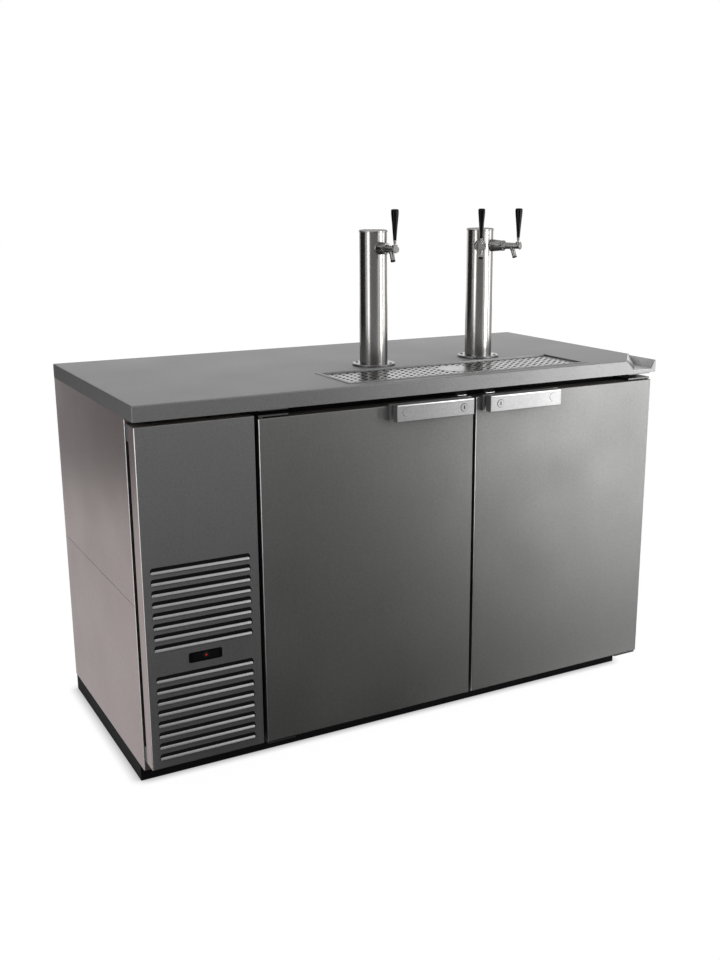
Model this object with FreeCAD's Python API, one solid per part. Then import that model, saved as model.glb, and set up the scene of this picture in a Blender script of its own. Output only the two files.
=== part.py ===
import FreeCAD, Part
import math
import os

# A two-door draught beer cooler with a louvred machine bay, a drip tray and two tap towers.
# X runs along the front to the right, Y to the back and Z up. Places are worked out from the
# worktop's left end, the apron's front face and the floor. Every piece is then moved, so that
# the origin lies on the floor under the middle of the whole part. All lengths are millimetres.

V = FreeCAD.Vector

# Driving dimensions
overall_width = 1524.0
worktop_depth = 737.0
worktop_height = 965.0
apron_height = 38.0
worktop_end_overhang = 12.0
back_setback = 4.0
machine_bay_width = 288.5
door_left_width = 603.5
tower_height = 361.0
tower_diameter = 76.2

# Shared sheets, clearances and the overrun of every cut
outer_sheet = 1.2
liner_sheet = 1.0
fold_radius = 2.5
running_clearance = 0.05
fit_clearance = 0.3
loose_clearance = 1.0
cut_overrun = 5.0
full_turn = 360.0
half_turn = 180.0
quarter_turn = 90.0

# Base frame and floor pan
base_height = 46.0
base_setback = 105.0
base_back_inset = 4.0
base_side_inset = 1.0
base_rail_width = 40.0
base_sheet = 2.0
base_cross_count = 3

# Side and back panels
seam_height = 473.0
seam_gap = 1.0
panel_flange = 14.0

# Insulation
end_wall = 50.0
back_wall = 50.0
floor_wall = 60.0
ceiling_wall = 58.0

# Door frame behind the doors
frame_landing = 14.0
mullion_width = 80.0
mullion_depth = 34.0

# Worktop skin: the dished right front corner
worktop_fold_radius = 3.0
pocket_depth = 29.0
pocket_floor_length = 79.0
pocket_floor_depth = 89.0
pocket_ramp_length = 29.0
pocket_end_drop = 4.0
pocket_gusset_foot = 16.0
pocket_gusset_head = 3.0

# Drip tray
tray_end_gap = 221.0
tray_length = 746.0
tray_front = 35.0
tray_width = 194.0
tray_rim = 9.0
tray_depth = 20.0
tray_sheet = 1.2
grid_recess = 3.0
grid_hole_diameter = 8.6
grid_pitch = 21.8
grid_margin = 14.0
grid_blank_diameter = 98.0
grid_blank_step = 0.5
drain_bore = 15.0
drain_wall = 3.0
drain_shoulder = 2.0
drain_tail = 25.0
drain_tail_wall = 2.0
drain_flange_diameter = 40.0
drain_flange_height = 3.0

# Towers
tower_left_inset = 206.0
tower_right_inset = 198.0
tower_tray_gap = 59.0
tower_wall = 1.5
cap_height = 5.0
cap_spigot = 8.0
cap_round = 2.2
flange_rim = 19.9
flange_height = 5.0
flange_round = 1.5
gasket_height = 1.0
riser_hole_diameter = 50.0
screw_count = 4
screw_inset = 10.4
screw_shank_diameter = 4.0
screw_head_diameter = 8.4
screw_head_height = 2.2
screw_length = 16.0

# Faucets, by name, tower and turn from straight ahead
faucets = (("left", 0, 0.0), ("middle", 1, -32.0), ("right", 1, 30.0))
faucet_drop = 46.0
shank_tail = 8.1
shank_pilot = 3.0
shank_radius = 10.3
shank_bore_radius = 4.0
cone_back_radius = 17.0
cone_front_radius = 13.8
cone_length = 30.9
nut_radius = 14.0
nut_length = 7.0
nut_flat_count = 12
body_back_radius = 9.2
body_front_radius = 7.9
bonnet_radius = 9.4
bonnet_height = 2.5
bonnet_round = 0.8
faucet_body_length = 49.5
chamber_radius = 5.0
spout_offset = 22.5
spout_lean = 10.5
spout_drop = 32.0
spout_radius = 6.2
spout_bore_radius = 4.6
boss_radius = 6.8
boss_top = 12.0
lever_cone_reach = 4.5
lever_offset = 42.0
lever_pivot_rise = 8.5
lever_ball_radius = 3.2
lever_stem_radius = 1.8
lever_stem_drop = 9.5
lever_shaft_radius = 2.8
lever_ferrule_radius = 4.4
lever_ferrule_height = 7.0
lever_waist_radius = 3.3
lever_stud_radius = 2.4
lever_stud_length = 12.0
lever_tilt = 30.0
tap_handle_rise = 23.0
tap_handle_length = 78.5
tap_handle_foot_radius = 4.3
tap_handle_head_radius = 9.6
tap_handle_head_height = 12.0
tap_handle_round = 2.6

# Beer line risers inside the towers
riser_radius = 5.2
riser_bore_radius = 2.4
riser_bend = 18.0
riser_shoulder = 2.0
riser_tail = 25.0
riser_tail_radius = 4.8

# Doors
panel_left_gap = 3.0
panel_door_gap = 10.5
door_gap = 8.5
door_right_reveal = 1.0
door_bottom = 74.0
door_head_gap = 21.0
door_front = 4.0
door_thickness = 46.0
door_seal_depth = 16.0
gasket_inset = 10.0
gasket_width = 22.0
gasket_foot = 5.0
gasket_bead_width = 13.0

# Hinges
hinge_offset = 8.0
hinge_pin_radius = 5.0
hinge_pin_reach = 16.0
hinge_plate = 4.0
hinge_length = 77.0
hinge_door_gap = 3.0
hinge_front_gap = 5.0

# Door handles, with their lock bezels and blank discs
handle_length = 228.0
handle_height = 42.0
handle_inset = 21.3
handle_rise = 5.0
handle_reach = 32.0
handle_bar_depth = 22.0
handle_wall = 2.5
handle_base_depth = 10.0
handle_base_overhang = 7.0
handle_neck_inset = 6.0
handle_round = 1.5
disc_inset = 27.0
disc_radius = 11.0
disc_rise = 3.0
disc_height = 0.7

# Door locks with their cams and keepers
lock_inset = 31.0
lock_plug_radius = 7.8
lock_bezel_radius = 9.6
lock_bezel_height = 1.2
key_slot_height = 7.0
key_slot_width = 2.0
key_slot_depth = 6.0
cam_front_gap = 3.0
cam_thickness = 3.0
cam_width = 10.0
cam_length = 32.0
cam_clearance = 1.5
strike_length = 34.0
strike_shift = 13.0
strike_sheet = 2.0
strike_lip = 14.0
strike_depth = 20.0

# Grille panel, its louvres and the temperature display
panel_head_gap = 12.0
panel_depth = 44.0
panel_ear_height = 40.0
panel_ear_width = 8.0
louvre_rows = 8
louvre_pitch = 27.4
lower_louvre_pitch = 28.5
louvre_margin = 21.25
louvre_opening = 13.0
louvre_round = 5.0
louvre_run = 6.0
louvre_rise = 3.5
louvre_inset = 2.0
upper_bank_middle = 475.0
lower_bank_middle = 200.8
display_middle = 344.0
display_width = 84.0
display_height = 25.6
display_round = 4.5
display_proud = 1.0
display_border = 3.0
display_depth = 38.0

# Machine bay: compressor, condenser, fan motors and lines
compressor_radius = 88.0
compressor_height = 180.0
compressor_round = 42.0
compressor_foot_height = 18.0
compressor_foot_radius = 12.0
compressor_foot_circle = 100.0
compressor_plate = 4.0
compressor_back_gap = 90.0
condenser_margin = 26.25
condenser_height = 262.0
condenser_thickness = 44.0
condenser_front_gap = 130.0
coil_bend_radius = 11.0
coil_tube_radius = 4.5
coil_bend_count = 7
coil_end_plate = 2.0
fan_gap = 12.0
fan_hub_radius = 20.0
fan_hub_depth = 18.0
fan_blade_count = 5
fan_blade_thickness = 1.6
fan_blade_pitch = 32.0
fan_blade_chord = 26.0
condenser_fan_margin = 16.0
motor_radius = 30.0
motor_depth = 30.0
motor_shaft_radius = 4.0
motor_arm_count = 4
motor_arm_width = 10.0
motor_arm_thickness = 2.5
line_radius = 5.0
line_bore_radius = 3.6
line_bend = 22.0
line_hole_clearance = 2.0
line_rise = 46.0

# Evaporator in the keg compartment
evaporator_depth = 104.0
evaporator_length = 330.0
evaporator_height = 270.0
evaporator_back_gap = 20.0
evaporator_top_gap = 30.0
evaporator_coil_thickness = 34.0
evaporator_coil_margin = 24.0
evaporator_outlet_radius = 72.0
evaporator_outlet_gap = 6.0

# Mains gland in the back panel
gland_x = 150.0
gland_z = 130.0
gland_bore_radius = 4.5
gland_radius = 9.0
gland_flange_radius = 13.0
gland_flange_height = 3.5
gland_length = 20.0

# Places that several pieces share
cabinet_width = overall_width - worktop_end_overhang
door_back = door_front + door_thickness
front_setback = door_back + door_seal_depth
apron_bottom = worktop_height - apron_height
cabinet_back = worktop_depth - back_setback
cavity_front = front_setback + outer_sheet
cavity_back = cabinet_back - outer_sheet
cavity_left = outer_sheet
cavity_right = cabinet_width - outer_sheet
floor_top = base_height + outer_sheet
machine_right = panel_left_gap + machine_bay_width
door_left_x0 = machine_right + panel_door_gap
door_left_x1 = door_left_x0 + door_left_width
door_right_x0 = door_left_x1 + door_gap
door_right_x1 = cabinet_width - door_right_reveal
door_top = apron_bottom - door_head_gap
doors = (("left", door_left_x0, door_left_x1, 1), ("right", door_right_x0, door_right_x1, -1))
bulkhead_left = machine_right + outer_sheet + panel_left_gap
liner_left = bulkhead_left + end_wall
liner_right = cavity_right - end_wall
liner_back = cavity_back - back_wall
liner_bottom = floor_top + floor_wall
liner_top = apron_bottom - ceiling_wall
keg_left = liner_left + liner_sheet
keg_right = liner_right - liner_sheet
keg_bottom = liner_bottom + liner_sheet
keg_top = liner_top - liner_sheet
mullion_x = (door_left_x1 + door_right_x0) / 2
hinge_y = door_front + hinge_offset
tray_right = overall_width - tray_end_gap
tray_left = tray_right - tray_length
tray_back = tray_front + tray_width
tray_floor = worktop_height - tray_depth
drain_x = (tray_left + tray_right) / 2
drain_y = (tray_front + tray_back) / 2
tower_xs = (tray_left + tower_left_inset, tray_right - tower_right_inset)
tower_y = tray_back + tower_tray_gap
tower_radius = tower_diameter / 2
flange_diameter = tower_diameter + 2 * flange_rim
screw_circle_diameter = tower_diameter + 2 * screw_inset
flange_bottom = worktop_height + gasket_height
column_bottom = flange_bottom + flange_height
column_top = worktop_height + tower_height - cap_height
faucet_z = worktop_height + tower_height - faucet_drop
shank_start = tower_radius - shank_tail
cone_end = tower_radius + cone_length
shank_end = cone_end + shank_pilot
nut_end = cone_end + nut_length
spout_start = nut_end + spout_offset
spout_end = spout_start + spout_lean
lever_out = nut_end + lever_offset
faucet_reach = nut_end + faucet_body_length
riser_out = shank_start - riser_bend
riser_bottom = keg_top - riser_shoulder - riser_tail
drain_bottom = keg_top - drain_shoulder - drain_tail
handle_top = door_top + handle_rise
handle_bottom = handle_top - handle_height
lock_z = handle_top - handle_height / 2
handle_front = -handle_reach
handle_base_front = door_front - handle_base_depth
lock_front = handle_front - lock_bezel_height
panel_top = apron_bottom - panel_head_gap
panel_middle = panel_left_gap + machine_bay_width / 2
louvre_width = machine_bay_width - 2 * louvre_margin
condenser_width = machine_bay_width - 2 * condenser_margin
condenser_fan_radius = condenser_width / 2 - condenser_fan_margin
evaporator_fan_radius = evaporator_outlet_radius - evaporator_outlet_gap
evaporator_left = keg_left
evaporator_right = evaporator_left + evaporator_depth
evaporator_back = liner_back - liner_sheet - evaporator_back_gap
evaporator_front = evaporator_back - evaporator_length
evaporator_top = keg_top - evaporator_top_gap
evaporator_bottom = evaporator_top - evaporator_height
evaporator_y = (evaporator_front + evaporator_back) / 2
evaporator_z = (evaporator_bottom + evaporator_top) / 2
condenser_y0 = door_front + panel_depth + condenser_front_gap
condenser_y1 = condenser_y0 + condenser_thickness
condenser_z = floor_top + condenser_height / 2
compressor_y = cavity_back - compressor_back_gap - compressor_radius

# The whole part reaches from the locks' front faces to the worktop's back edge
datum = V(-overall_width / 2, -(worktop_depth + lock_front) / 2, 0)


def box(x0, x1, y0, y1, z0, z1):
    """A box between three pairs of planes."""
    return Part.makeBox(x1 - x0, y1 - y0, z1 - z0, V(x0, y0, z0))


def rod(radius, start, end):
    """A round bar from one point to another."""
    return Part.makeCylinder(radius, (end - start).Length, start, end - start)


def prism(points, along):
    """A straight prism of a polygon."""
    return Part.Face(Part.makePolygon(points + points[:1])).extrude(along)


def tapered(low, high):
    """A solid between two outlines whose matching sides are parallel."""
    faces = [Part.Face(Part.makePolygon(points + points[:1])) for points in (low, high)]
    for index in range(len(low)):
        after = (index + 1) % len(low)
        corners = [low[index], low[after], high[after], high[index], low[index]]
        faces.append(Part.Face(Part.makePolygon(corners)))
    solid = Part.Solid(Part.Shell(faces))
    return solid if solid.Volume > 0 else solid.reversed()


def turned(profile, centre, axis, side):
    """A solid of revolution, from (distance along the axis, radius) points."""
    points = [centre + axis * along + side * radius for along, radius in profile]
    solid = Part.Face(Part.makePolygon(points + points[:1])).revolve(centre, axis, full_turn)
    return solid if solid.Volume > 0 else solid.reversed()


def tube(radius, bore_radius, start, end):
    """A round tube with a bore right through it."""
    axis = end - start
    overrun = (end - start).normalize() * cut_overrun
    return rod(radius, start, end).cut(rod(bore_radius, start - overrun, start + axis + overrun))


def bent_tube(radius, bore_radius, points, bend):
    """A tube along straight runs joined by arcs of one bend radius."""
    pieces = []
    start = points[0]
    for before, corner, after in zip(points, points[1:], points[2:]):
        back = (before - corner).normalize()
        ahead = (after - corner).normalize()
        turn = math.pi - back.getAngle(ahead)
        setback = bend * math.tan(turn / 2)
        enter = corner + back * setback
        centre = corner + (back + ahead).normalize() * (bend / math.cos(turn / 2))
        pieces.append(tube(radius, bore_radius, start, enter))
        section = Part.Face([Part.Wire(Part.Circle(enter, back, r).toShape())
                             for r in (radius, bore_radius)])
        pieces.append(section.revolve(centre, ahead.cross(back), math.degrees(turn)))
        start = corner + ahead * setback
    pieces.append(tube(radius, bore_radius, start, points[-1]))
    return pieces[0].fuse(pieces[1:])


def rounded(solid, radius, chosen):
    """The solid with the chosen edges rounded."""
    return solid.makeFillet(radius, [edge for edge in solid.Edges if chosen(edge.BoundBox)])


def flat_at(low, high, level):
    """Says if an edge lies wholly at one level."""
    return abs(low - level) < loose_clearance / 10 and abs(high - level) < loose_clearance / 10


def save(node, *solids):
    """Moves a node's solids to the part's origin and writes them to its file."""
    shape = solids[0] if len(solids) == 1 else Part.makeCompound(list(solids))
    shape = shape.copy()
    shape.translate(datum)
    shape.exportStep("parts/" + node + ".step")


def channel(x0, x1, y0, y1, open_side):
    """A folded channel of the base's height, open towards one side."""
    rail = box(x0, x1, y0, y1, 0, base_height)
    sheet = base_sheet
    hollow = {"front": (x0, x1, y0 - cut_overrun, y1 - sheet),
              "back": (x0, x1, y0 + sheet, y1 + cut_overrun),
              "left": (x0 - cut_overrun, x1 - sheet, y0, y1),
              "right": (x0 + sheet, x1 + cut_overrun, y0, y1)}[open_side]
    return rail.cut(box(*hollow, sheet, base_height - sheet))


def base_long_rails():
    """The two channels under the front and the back of the cabinet."""
    front = base_setback
    back = cabinet_back - base_back_inset - base_rail_width
    left = base_side_inset
    right = cabinet_width - base_side_inset
    return [channel(left, right, front, front + base_rail_width, "back"),
            channel(left, right, back, back + base_rail_width, "front")]


def base_cross_rails():
    """The channels that join the two long ones."""
    first = base_side_inset
    last = cabinet_width - base_side_inset - base_rail_width
    step = (last - first) / (base_cross_count - 1)
    y0 = base_setback + base_rail_width
    y1 = cabinet_back - base_back_inset - base_rail_width
    rails = []
    for index in range(base_cross_count):
        x = first + step * index
        open_side = "left" if index == base_cross_count - 1 else "right"
        rails.append(channel(x, x + base_rail_width, y0, y1, open_side))
    return rails


def floor_pan():
    """The sheet that the whole cabinet stands on."""
    return box(cavity_left, cavity_right, cavity_front, cavity_back, base_height, floor_top)


def side_panel(outer_x, inward, z0, z1):
    """A side sheet with flanges folded in at its front and back edges."""
    x0, x1 = sorted((outer_x, outer_x + inward * outer_sheet))
    f0, f1 = sorted((outer_x, outer_x + inward * panel_flange))
    sheet = box(x0, x1, front_setback, cabinet_back, z0, z1)
    front = box(f0, f1, front_setback, cavity_front, max(z0, floor_top), z1)
    return sheet.fuse(front).removeSplitter()


def right_side_panel():
    """The right side sheet, whose front edge the door frame covers."""
    return box(cavity_right, cabinet_width, front_setback, cabinet_back, base_height, apron_bottom)


def back_panel():
    """The back sheet, with the gland's hole."""
    sheet = box(cavity_left, cavity_right, cavity_back, cabinet_back, base_height, apron_bottom)
    centre = V(gland_x, cavity_back - cut_overrun, gland_z)
    return sheet.cut(rod(gland_radius + fit_clearance, centre, V(gland_x, worktop_depth, gland_z)))


def mains_gland():
    """The cord's gland: a flanged bush through the back panel."""
    inner = V(gland_x, cabinet_back + gland_flange_height - gland_length, gland_z)
    seat = V(gland_x, cabinet_back, gland_z)
    outer = V(gland_x, cabinet_back + gland_flange_height, gland_z)
    bush = rod(gland_radius, inner, seat).fuse(rod(gland_flange_radius, seat, outer))
    along = V(0, cut_overrun, 0)
    return bush.cut(rod(gland_bore_radius, inner - along, outer + along))


def line_passages():
    """The two places where refrigerant lines pass through the bulkhead, as (y, z)."""
    liquid = (evaporator_y - evaporator_length / 4, evaporator_bottom + line_rise)
    suction = (compressor_y, evaporator_top - line_rise)
    return (liquid, suction)


def line_holes():
    """The cuts for the refrigerant lines through the bulkhead and the liner."""
    radius = line_radius + line_hole_clearance
    start = bulkhead_left - cut_overrun
    end = keg_left + cut_overrun
    return Part.makeCompound([rod(radius, V(start, y, z), V(end, y, z)) for y, z in line_passages()])


def insulation_floor():
    """The foam slab under the keg compartment."""
    return box(bulkhead_left, cavity_right, cavity_front, cavity_back, floor_top, liner_bottom)


def insulation_back():
    """The foam slab behind the keg compartment."""
    return box(liner_left, liner_right, liner_back, cavity_back, liner_bottom, apron_bottom)


def insulation_end_walls():
    """The foam slabs at the two ends of the keg compartment."""
    starts = (bulkhead_left, liner_right)
    slabs = [box(x, x + end_wall, cavity_front, cavity_back, liner_bottom, apron_bottom)
             for x in starts]
    return [slabs[0].cut(line_holes()), slabs[1]]


def ceiling_holes():
    """The cuts down through the worktop and the ceiling for the risers and the drain."""
    low = keg_top - cut_overrun
    holes = [rod(riser_hole_diameter / 2, V(x, tower_y, low), V(x, tower_y, column_bottom))
             for x in tower_xs]
    drain = V(drain_x, drain_y, low)
    radius = drain_bore / 2 + drain_wall + fit_clearance
    holes.append(rod(radius, drain, V(drain_x, drain_y, tray_floor)))
    return Part.makeCompound(holes)


def keg_compartment_liner():
    """The sheet lining of the keg compartment, open at the front."""
    outer = box(liner_left, liner_right, cavity_front, liner_back, liner_bottom, liner_top)
    front = cavity_front - cut_overrun
    inner = box(keg_left, keg_right, front, liner_back - liner_sheet, keg_bottom, keg_top)
    return outer.cut(inner).cut(ceiling_holes()).cut(line_holes())


def frame_openings():
    """The two door openings, as (left, right) pairs."""
    left = (keg_left, mullion_x - mullion_width / 2)
    right = (mullion_x + mullion_width / 2, keg_right)
    return (left, right)


def door_frame():
    """The black frame that the door gaskets close on, with its centre mullion."""
    left = bulkhead_left - frame_landing
    plate = box(left, cavity_right, front_setback, cavity_front, floor_top, apron_bottom)
    for x0, x1 in frame_openings():
        back = cavity_front + cut_overrun
        plate = plate.cut(box(x0, x1, front_setback - cut_overrun, back, keg_bottom, keg_top))
    m0 = mullion_x - mullion_width / 2
    post = box(m0, m0 + mullion_width, cavity_front, cavity_front + mullion_depth,
               keg_bottom, keg_top)
    return plate.fuse(post).removeSplitter()


def pocket_outline(z, reach, right):
    """The dished corner's outline at one height, as far as it reaches along the front."""
    end = overall_width - outer_sheet
    y = reach * pocket_floor_depth / pocket_floor_length
    corner = [V(right, -cut_overrun, z), V(end - reach, -cut_overrun, z), V(end - reach, 0, z),
              V(end, y, z)]
    return corner + ([V(right, y, z)] if right > end else [])


def corner_pocket(swell, right):
    """The dished corner as a solid: a flat floor and one ramp. A swell leaves room for sheet."""
    floor_z = worktop_height - pocket_depth - swell
    rise = pocket_depth + swell + cut_overrun
    floor_reach = pocket_floor_length + swell
    top_reach = floor_reach + pocket_ramp_length * rise / pocket_depth
    return tapered(pocket_outline(floor_z, floor_reach, right),
                   pocket_outline(floor_z + rise, top_reach, right))


def worktop_hollow(bottom):
    """The space inside the worktop's skin, down to the given height."""
    right = overall_width - outer_sheet
    back = worktop_depth - outer_sheet
    top = worktop_height - outer_sheet
    block = box(outer_sheet, right, outer_sheet, back, bottom, top)
    return block.cut(corner_pocket(outer_sheet, right + cut_overrun))


def tray_well(clearance):
    """The drip tray's well in plan, with a clearance around it, as (x0, x1, y0, y1)."""
    return (tray_left + tray_rim - clearance, tray_right - tray_rim + clearance,
            tray_front + tray_rim - clearance, tray_back - tray_rim + clearance)


def tray_opening(clearance):
    """The cut that the drip tray drops into."""
    bottom = tray_floor - tray_sheet - clearance
    return box(*tray_well(clearance), bottom, worktop_height + cut_overrun)


def screw_places():
    """The centres of every tower screw, as (x, y)."""
    places = []
    for x in tower_xs:
        for index in range(screw_count):
            angle = math.tau * (index + 0.5) / screw_count
            reach = screw_circle_diameter / 2
            places.append((x + reach * math.cos(angle), tower_y + reach * math.sin(angle)))
    return places


def screw_holes():
    """The cuts for the tower screws."""
    radius = screw_shank_diameter / 2 + running_clearance
    low = column_bottom - screw_length - loose_clearance
    high = column_bottom + cut_overrun
    return Part.makeCompound([rod(radius, V(x, y, low), V(x, y, high)) for x, y in screw_places()])


def worktop_skin():
    """The folded worktop sheet with its apron and its dished corner."""
    outer = box(0, overall_width, 0, worktop_depth, apron_bottom, worktop_height)
    outer = rounded(outer, worktop_fold_radius,
                    lambda b: b.ZMin > apron_bottom or b.ZLength > apron_height / 2)
    outer = outer.cut(corner_pocket(0, overall_width - outer_sheet))
    skin = outer.cut(worktop_hollow(apron_bottom - cut_overrun))
    end = overall_width - outer_sheet
    drop_z = worktop_height - pocket_end_drop
    drop_share = (pocket_depth - pocket_end_drop) / pocket_depth
    drop_reach = pocket_floor_length + pocket_ramp_length * drop_share
    drop_y = drop_reach * pocket_floor_depth / pocket_floor_length
    low_end = box(end, overall_width + cut_overrun, -cut_overrun, drop_y,
                  drop_z, worktop_height + cut_overrun)
    floor_z = worktop_height - pocket_depth
    gusset = prism([V(end - pocket_gusset_foot, 0, floor_z), V(end, 0, floor_z),
                    V(end, 0, drop_z), V(end - pocket_gusset_head, 0, drop_z)],
                   V(0, outer_sheet, 0))
    skin = skin.cut(low_end).fuse(gusset)
    return skin.cut(tray_opening(0)).cut(ceiling_holes()).cut(screw_holes())


def worktop_insulation():
    """The foam slabs left, right, in front of, behind and under the tray, and over the kegs."""
    x0, x1, y0, y1 = tray_well(fit_clearance)
    under = tray_floor - tray_sheet - fit_clearance
    low = apron_bottom
    top = worktop_height
    slabs = [box(0, x0, 0, worktop_depth, low, top),
             box(x1, overall_width, 0, worktop_depth, low, top),
             box(x0, x1, 0, y0, low, top),
             box(x0, x1, y1, worktop_depth, low, top),
             box(x0, x1, y0, y1, low, under)]
    hollow = worktop_hollow(low)
    slabs = [slab.common(hollow) for slab in slabs]
    slabs.append(box(liner_left, liner_right, cavity_front, liner_back, liner_top, low))
    seat_top = tray_floor - tray_sheet
    seat = rod(drain_flange_diameter / 2 + fit_clearance,
               V(drain_x, drain_y, seat_top - drain_flange_height - fit_clearance),
               V(drain_x, drain_y, seat_top))
    return [slab.cut(seat).cut(ceiling_holes()).cut(screw_holes()) for slab in slabs]


def drip_tray_pan():
    """The drip tray: four sides, each a wall with its rim, and a flat floor with a drain hole."""
    rim_top = worktop_height + tray_sheet
    bottom = tray_floor - tray_sheet
    x0, x1, y0, y1 = tray_well(0)
    i0 = x0 + tray_sheet
    i1 = x1 - tray_sheet
    j0 = y0 + tray_sheet
    j1 = y1 - tray_sheet
    plans = (((tray_left, tray_right, tray_front, j0), (x0, x1, y0, j0)),
             ((tray_left, tray_right, j1, tray_back), (x0, x1, j1, y1)),
             ((tray_left, i0, j0, j1), (x0, i0, j0, j1)),
             ((i1, tray_right, j0, j1), (i1, x1, j0, j1)))
    sides = []
    for rim, wall in plans:
        side = box(*rim, worktop_height, rim_top).fuse(box(*wall, bottom, rim_top))
        sides.append(side.removeSplitter())
    drain = rod(drain_bore / 2, V(drain_x, drain_y, bottom - cut_overrun),
                V(drain_x, drain_y, rim_top))
    return [box(i0, i1, j0, j1, bottom, tray_floor).cut(drain)] + sides


def drip_tray_drain():
    """The drain spigot: a flange under the tray, a neck and a hose tail under the ceiling."""
    top = V(drain_x, drain_y, tray_floor - tray_sheet)
    seat = top - V(0, 0, drain_flange_height)
    shoulder = V(drain_x, drain_y, keg_top - drain_shoulder)
    bottom = V(drain_x, drain_y, drain_bottom)
    body = rod(drain_flange_diameter / 2, seat, top)
    body = body.fuse(rod(drain_bore / 2 + drain_wall, shoulder, seat))
    body = body.fuse(rod(drain_bore / 2 + drain_tail_wall, bottom, shoulder))
    along = V(0, 0, cut_overrun)
    return body.cut(rod(drain_bore / 2, bottom - along, top + along))


def grid_holes(x0, x1, y0, y1, low, high):
    """The grid's round holes in rows, none of them on the blank disc."""
    columns = int((x1 - x0 - 2 * grid_margin) / grid_pitch)
    rows = int((y1 - y0 - 2 * grid_margin) / grid_pitch)
    first_x = drain_x - grid_pitch * columns / 2
    first_y = drain_y - grid_pitch * rows / 2
    blank = (grid_blank_diameter + grid_hole_diameter) / 2
    holes = []
    for column in range(columns + 1):
        for row in range(rows + 1):
            x = first_x + grid_pitch * column
            y = first_y + grid_pitch * row
            if math.hypot(x - drain_x, y - drain_y) > blank:
                holes.append(rod(grid_hole_diameter / 2, V(x, y, low), V(x, y, high)))
    return Part.makeCompound(holes)


def drip_tray_grid():
    """The lift-out perforated grid: a plate with a raised blank disc, and the strips it rests on."""
    x0 = tray_left + tray_rim + tray_sheet + loose_clearance
    x1 = tray_right - tray_rim - tray_sheet - loose_clearance
    y0 = tray_front + tray_rim + tray_sheet + loose_clearance
    y1 = tray_back - tray_rim - tray_sheet - loose_clearance
    top = worktop_height - grid_recess
    under = top - tray_sheet
    plate = box(x0, x1, y0, y1, under, top)
    plate = plate.cut(grid_holes(x0, x1, y0, y1, under - cut_overrun, top + cut_overrun))
    centre = V(drain_x, drain_y, top)
    disc = rod(grid_blank_diameter / 2, centre, centre + V(0, 0, grid_blank_step))
    strips = [box(x0, x1, y, y + tray_sheet, tray_floor, under) for y in (y0, y1 - tray_sheet)]
    return [plate.fuse(disc).removeSplitter()] + strips


def tower_gasket(x):
    """The thin black ring under a tower's flange."""
    ring = tube(flange_diameter / 2 - gasket_height, riser_hole_diameter / 2,
                V(x, tower_y, worktop_height), V(x, tower_y, flange_bottom))
    return ring.cut(screw_holes())


def tower_flange(x):
    """The round flange that a tower column stands on."""
    plate = rod(flange_diameter / 2, V(x, tower_y, flange_bottom), V(x, tower_y, column_bottom))
    plate = rounded(plate, flange_round, lambda b: flat_at(b.ZMin, b.ZMax, column_bottom))
    bore = rod(riser_hole_diameter / 2, V(x, tower_y, flange_bottom - cut_overrun),
               V(x, tower_y, column_bottom + cut_overrun))
    return plate.cut(bore).cut(screw_holes())


def tower_screw(x, y):
    """A pan-head screw through a tower's flange."""
    seat = V(x, y, column_bottom)
    head = rod(screw_head_diameter / 2, seat, seat + V(0, 0, screw_head_height))
    head = rounded(head, screw_head_height / 2,
                   lambda b: flat_at(b.ZMin, b.ZMax, column_bottom + screw_head_height))
    return head.fuse(rod(screw_shank_diameter / 2, seat - V(0, 0, screw_length), seat))


def out_from_tower(shape, tower, turn):
    """Moves a shape from the faucet's own frame to its place on a tower."""
    shape = shape.copy()
    shape.rotate(V(0, 0, 0), V(0, 0, 1), turn)
    shape.translate(V(tower_xs[tower], tower_y, faucet_z))
    return shape


def tower_column(tower):
    """A tower's column, with the holes for its shanks."""
    x = tower_xs[tower]
    column = tube(tower_radius, tower_radius - tower_wall,
                  V(x, tower_y, column_bottom), V(x, tower_y, column_top))
    for name, owner, turn in faucets:
        if owner == tower:
            hole = rod(shank_radius + fit_clearance, V(0, 0, 0), V(0, -tower_diameter, 0))
            column = column.cut(out_from_tower(hole, owner, turn))
    return column


def tower_cap(x):
    """A tower's cap: a rounded lid with a spigot inside the column."""
    base = V(x, tower_y, column_top)
    lid = rod(tower_radius, base, base + V(0, 0, cap_height))
    lid = rounded(lid, cap_round,
                  lambda b: flat_at(b.ZMin, b.ZMax, column_top + cap_height))
    outer = tower_radius - tower_wall - running_clearance
    return lid.fuse(tube(outer, outer - tower_wall, base - V(0, 0, cap_spigot), base))


def turned_faucet_part(profile):
    """A solid turned about the faucet's axis, from (distance from the tower, radius) points."""
    return turned(profile, V(0, 0, 0), V(0, -1, 0), V(1, 0, 0))


def faucet_shank():
    """The shank: a threaded tube with a cone flange cut to sit on the column."""
    cone_start = tower_radius * math.cos(math.asin(cone_back_radius / tower_radius))
    shank = turned_faucet_part([(shank_start, shank_bore_radius), (shank_start, shank_radius),
                                (shank_end, shank_radius), (shank_end, shank_bore_radius)])
    cone = turned_faucet_part([(cone_start, 0), (cone_start, cone_back_radius),
                               (cone_end, cone_front_radius), (cone_end, 0)])
    seat = rod(tower_radius + running_clearance, V(0, 0, -tower_diameter),
               V(0, 0, tower_diameter))
    bore = rod(shank_bore_radius, V(0, 0, 0), V(0, -faucet_reach, 0))
    return cone.cut(seat).cut(bore).fuse(shank)


def coupling_nut():
    """The nut that draws the faucet on to its shank, with grip flats around it."""
    corner = nut_radius / math.cos(math.pi / nut_flat_count)
    angles = [math.tau * index / nut_flat_count for index in range(nut_flat_count)]
    points = [V(corner * math.cos(angle), -cone_end, corner * math.sin(angle))
              for angle in angles]
    nut = prism(points, V(0, cone_end - nut_end, 0))
    bore_radius = shank_radius + fit_clearance
    return nut.cut(rod(bore_radius, V(0, 0, 0), V(0, -faucet_reach, 0)))


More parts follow.
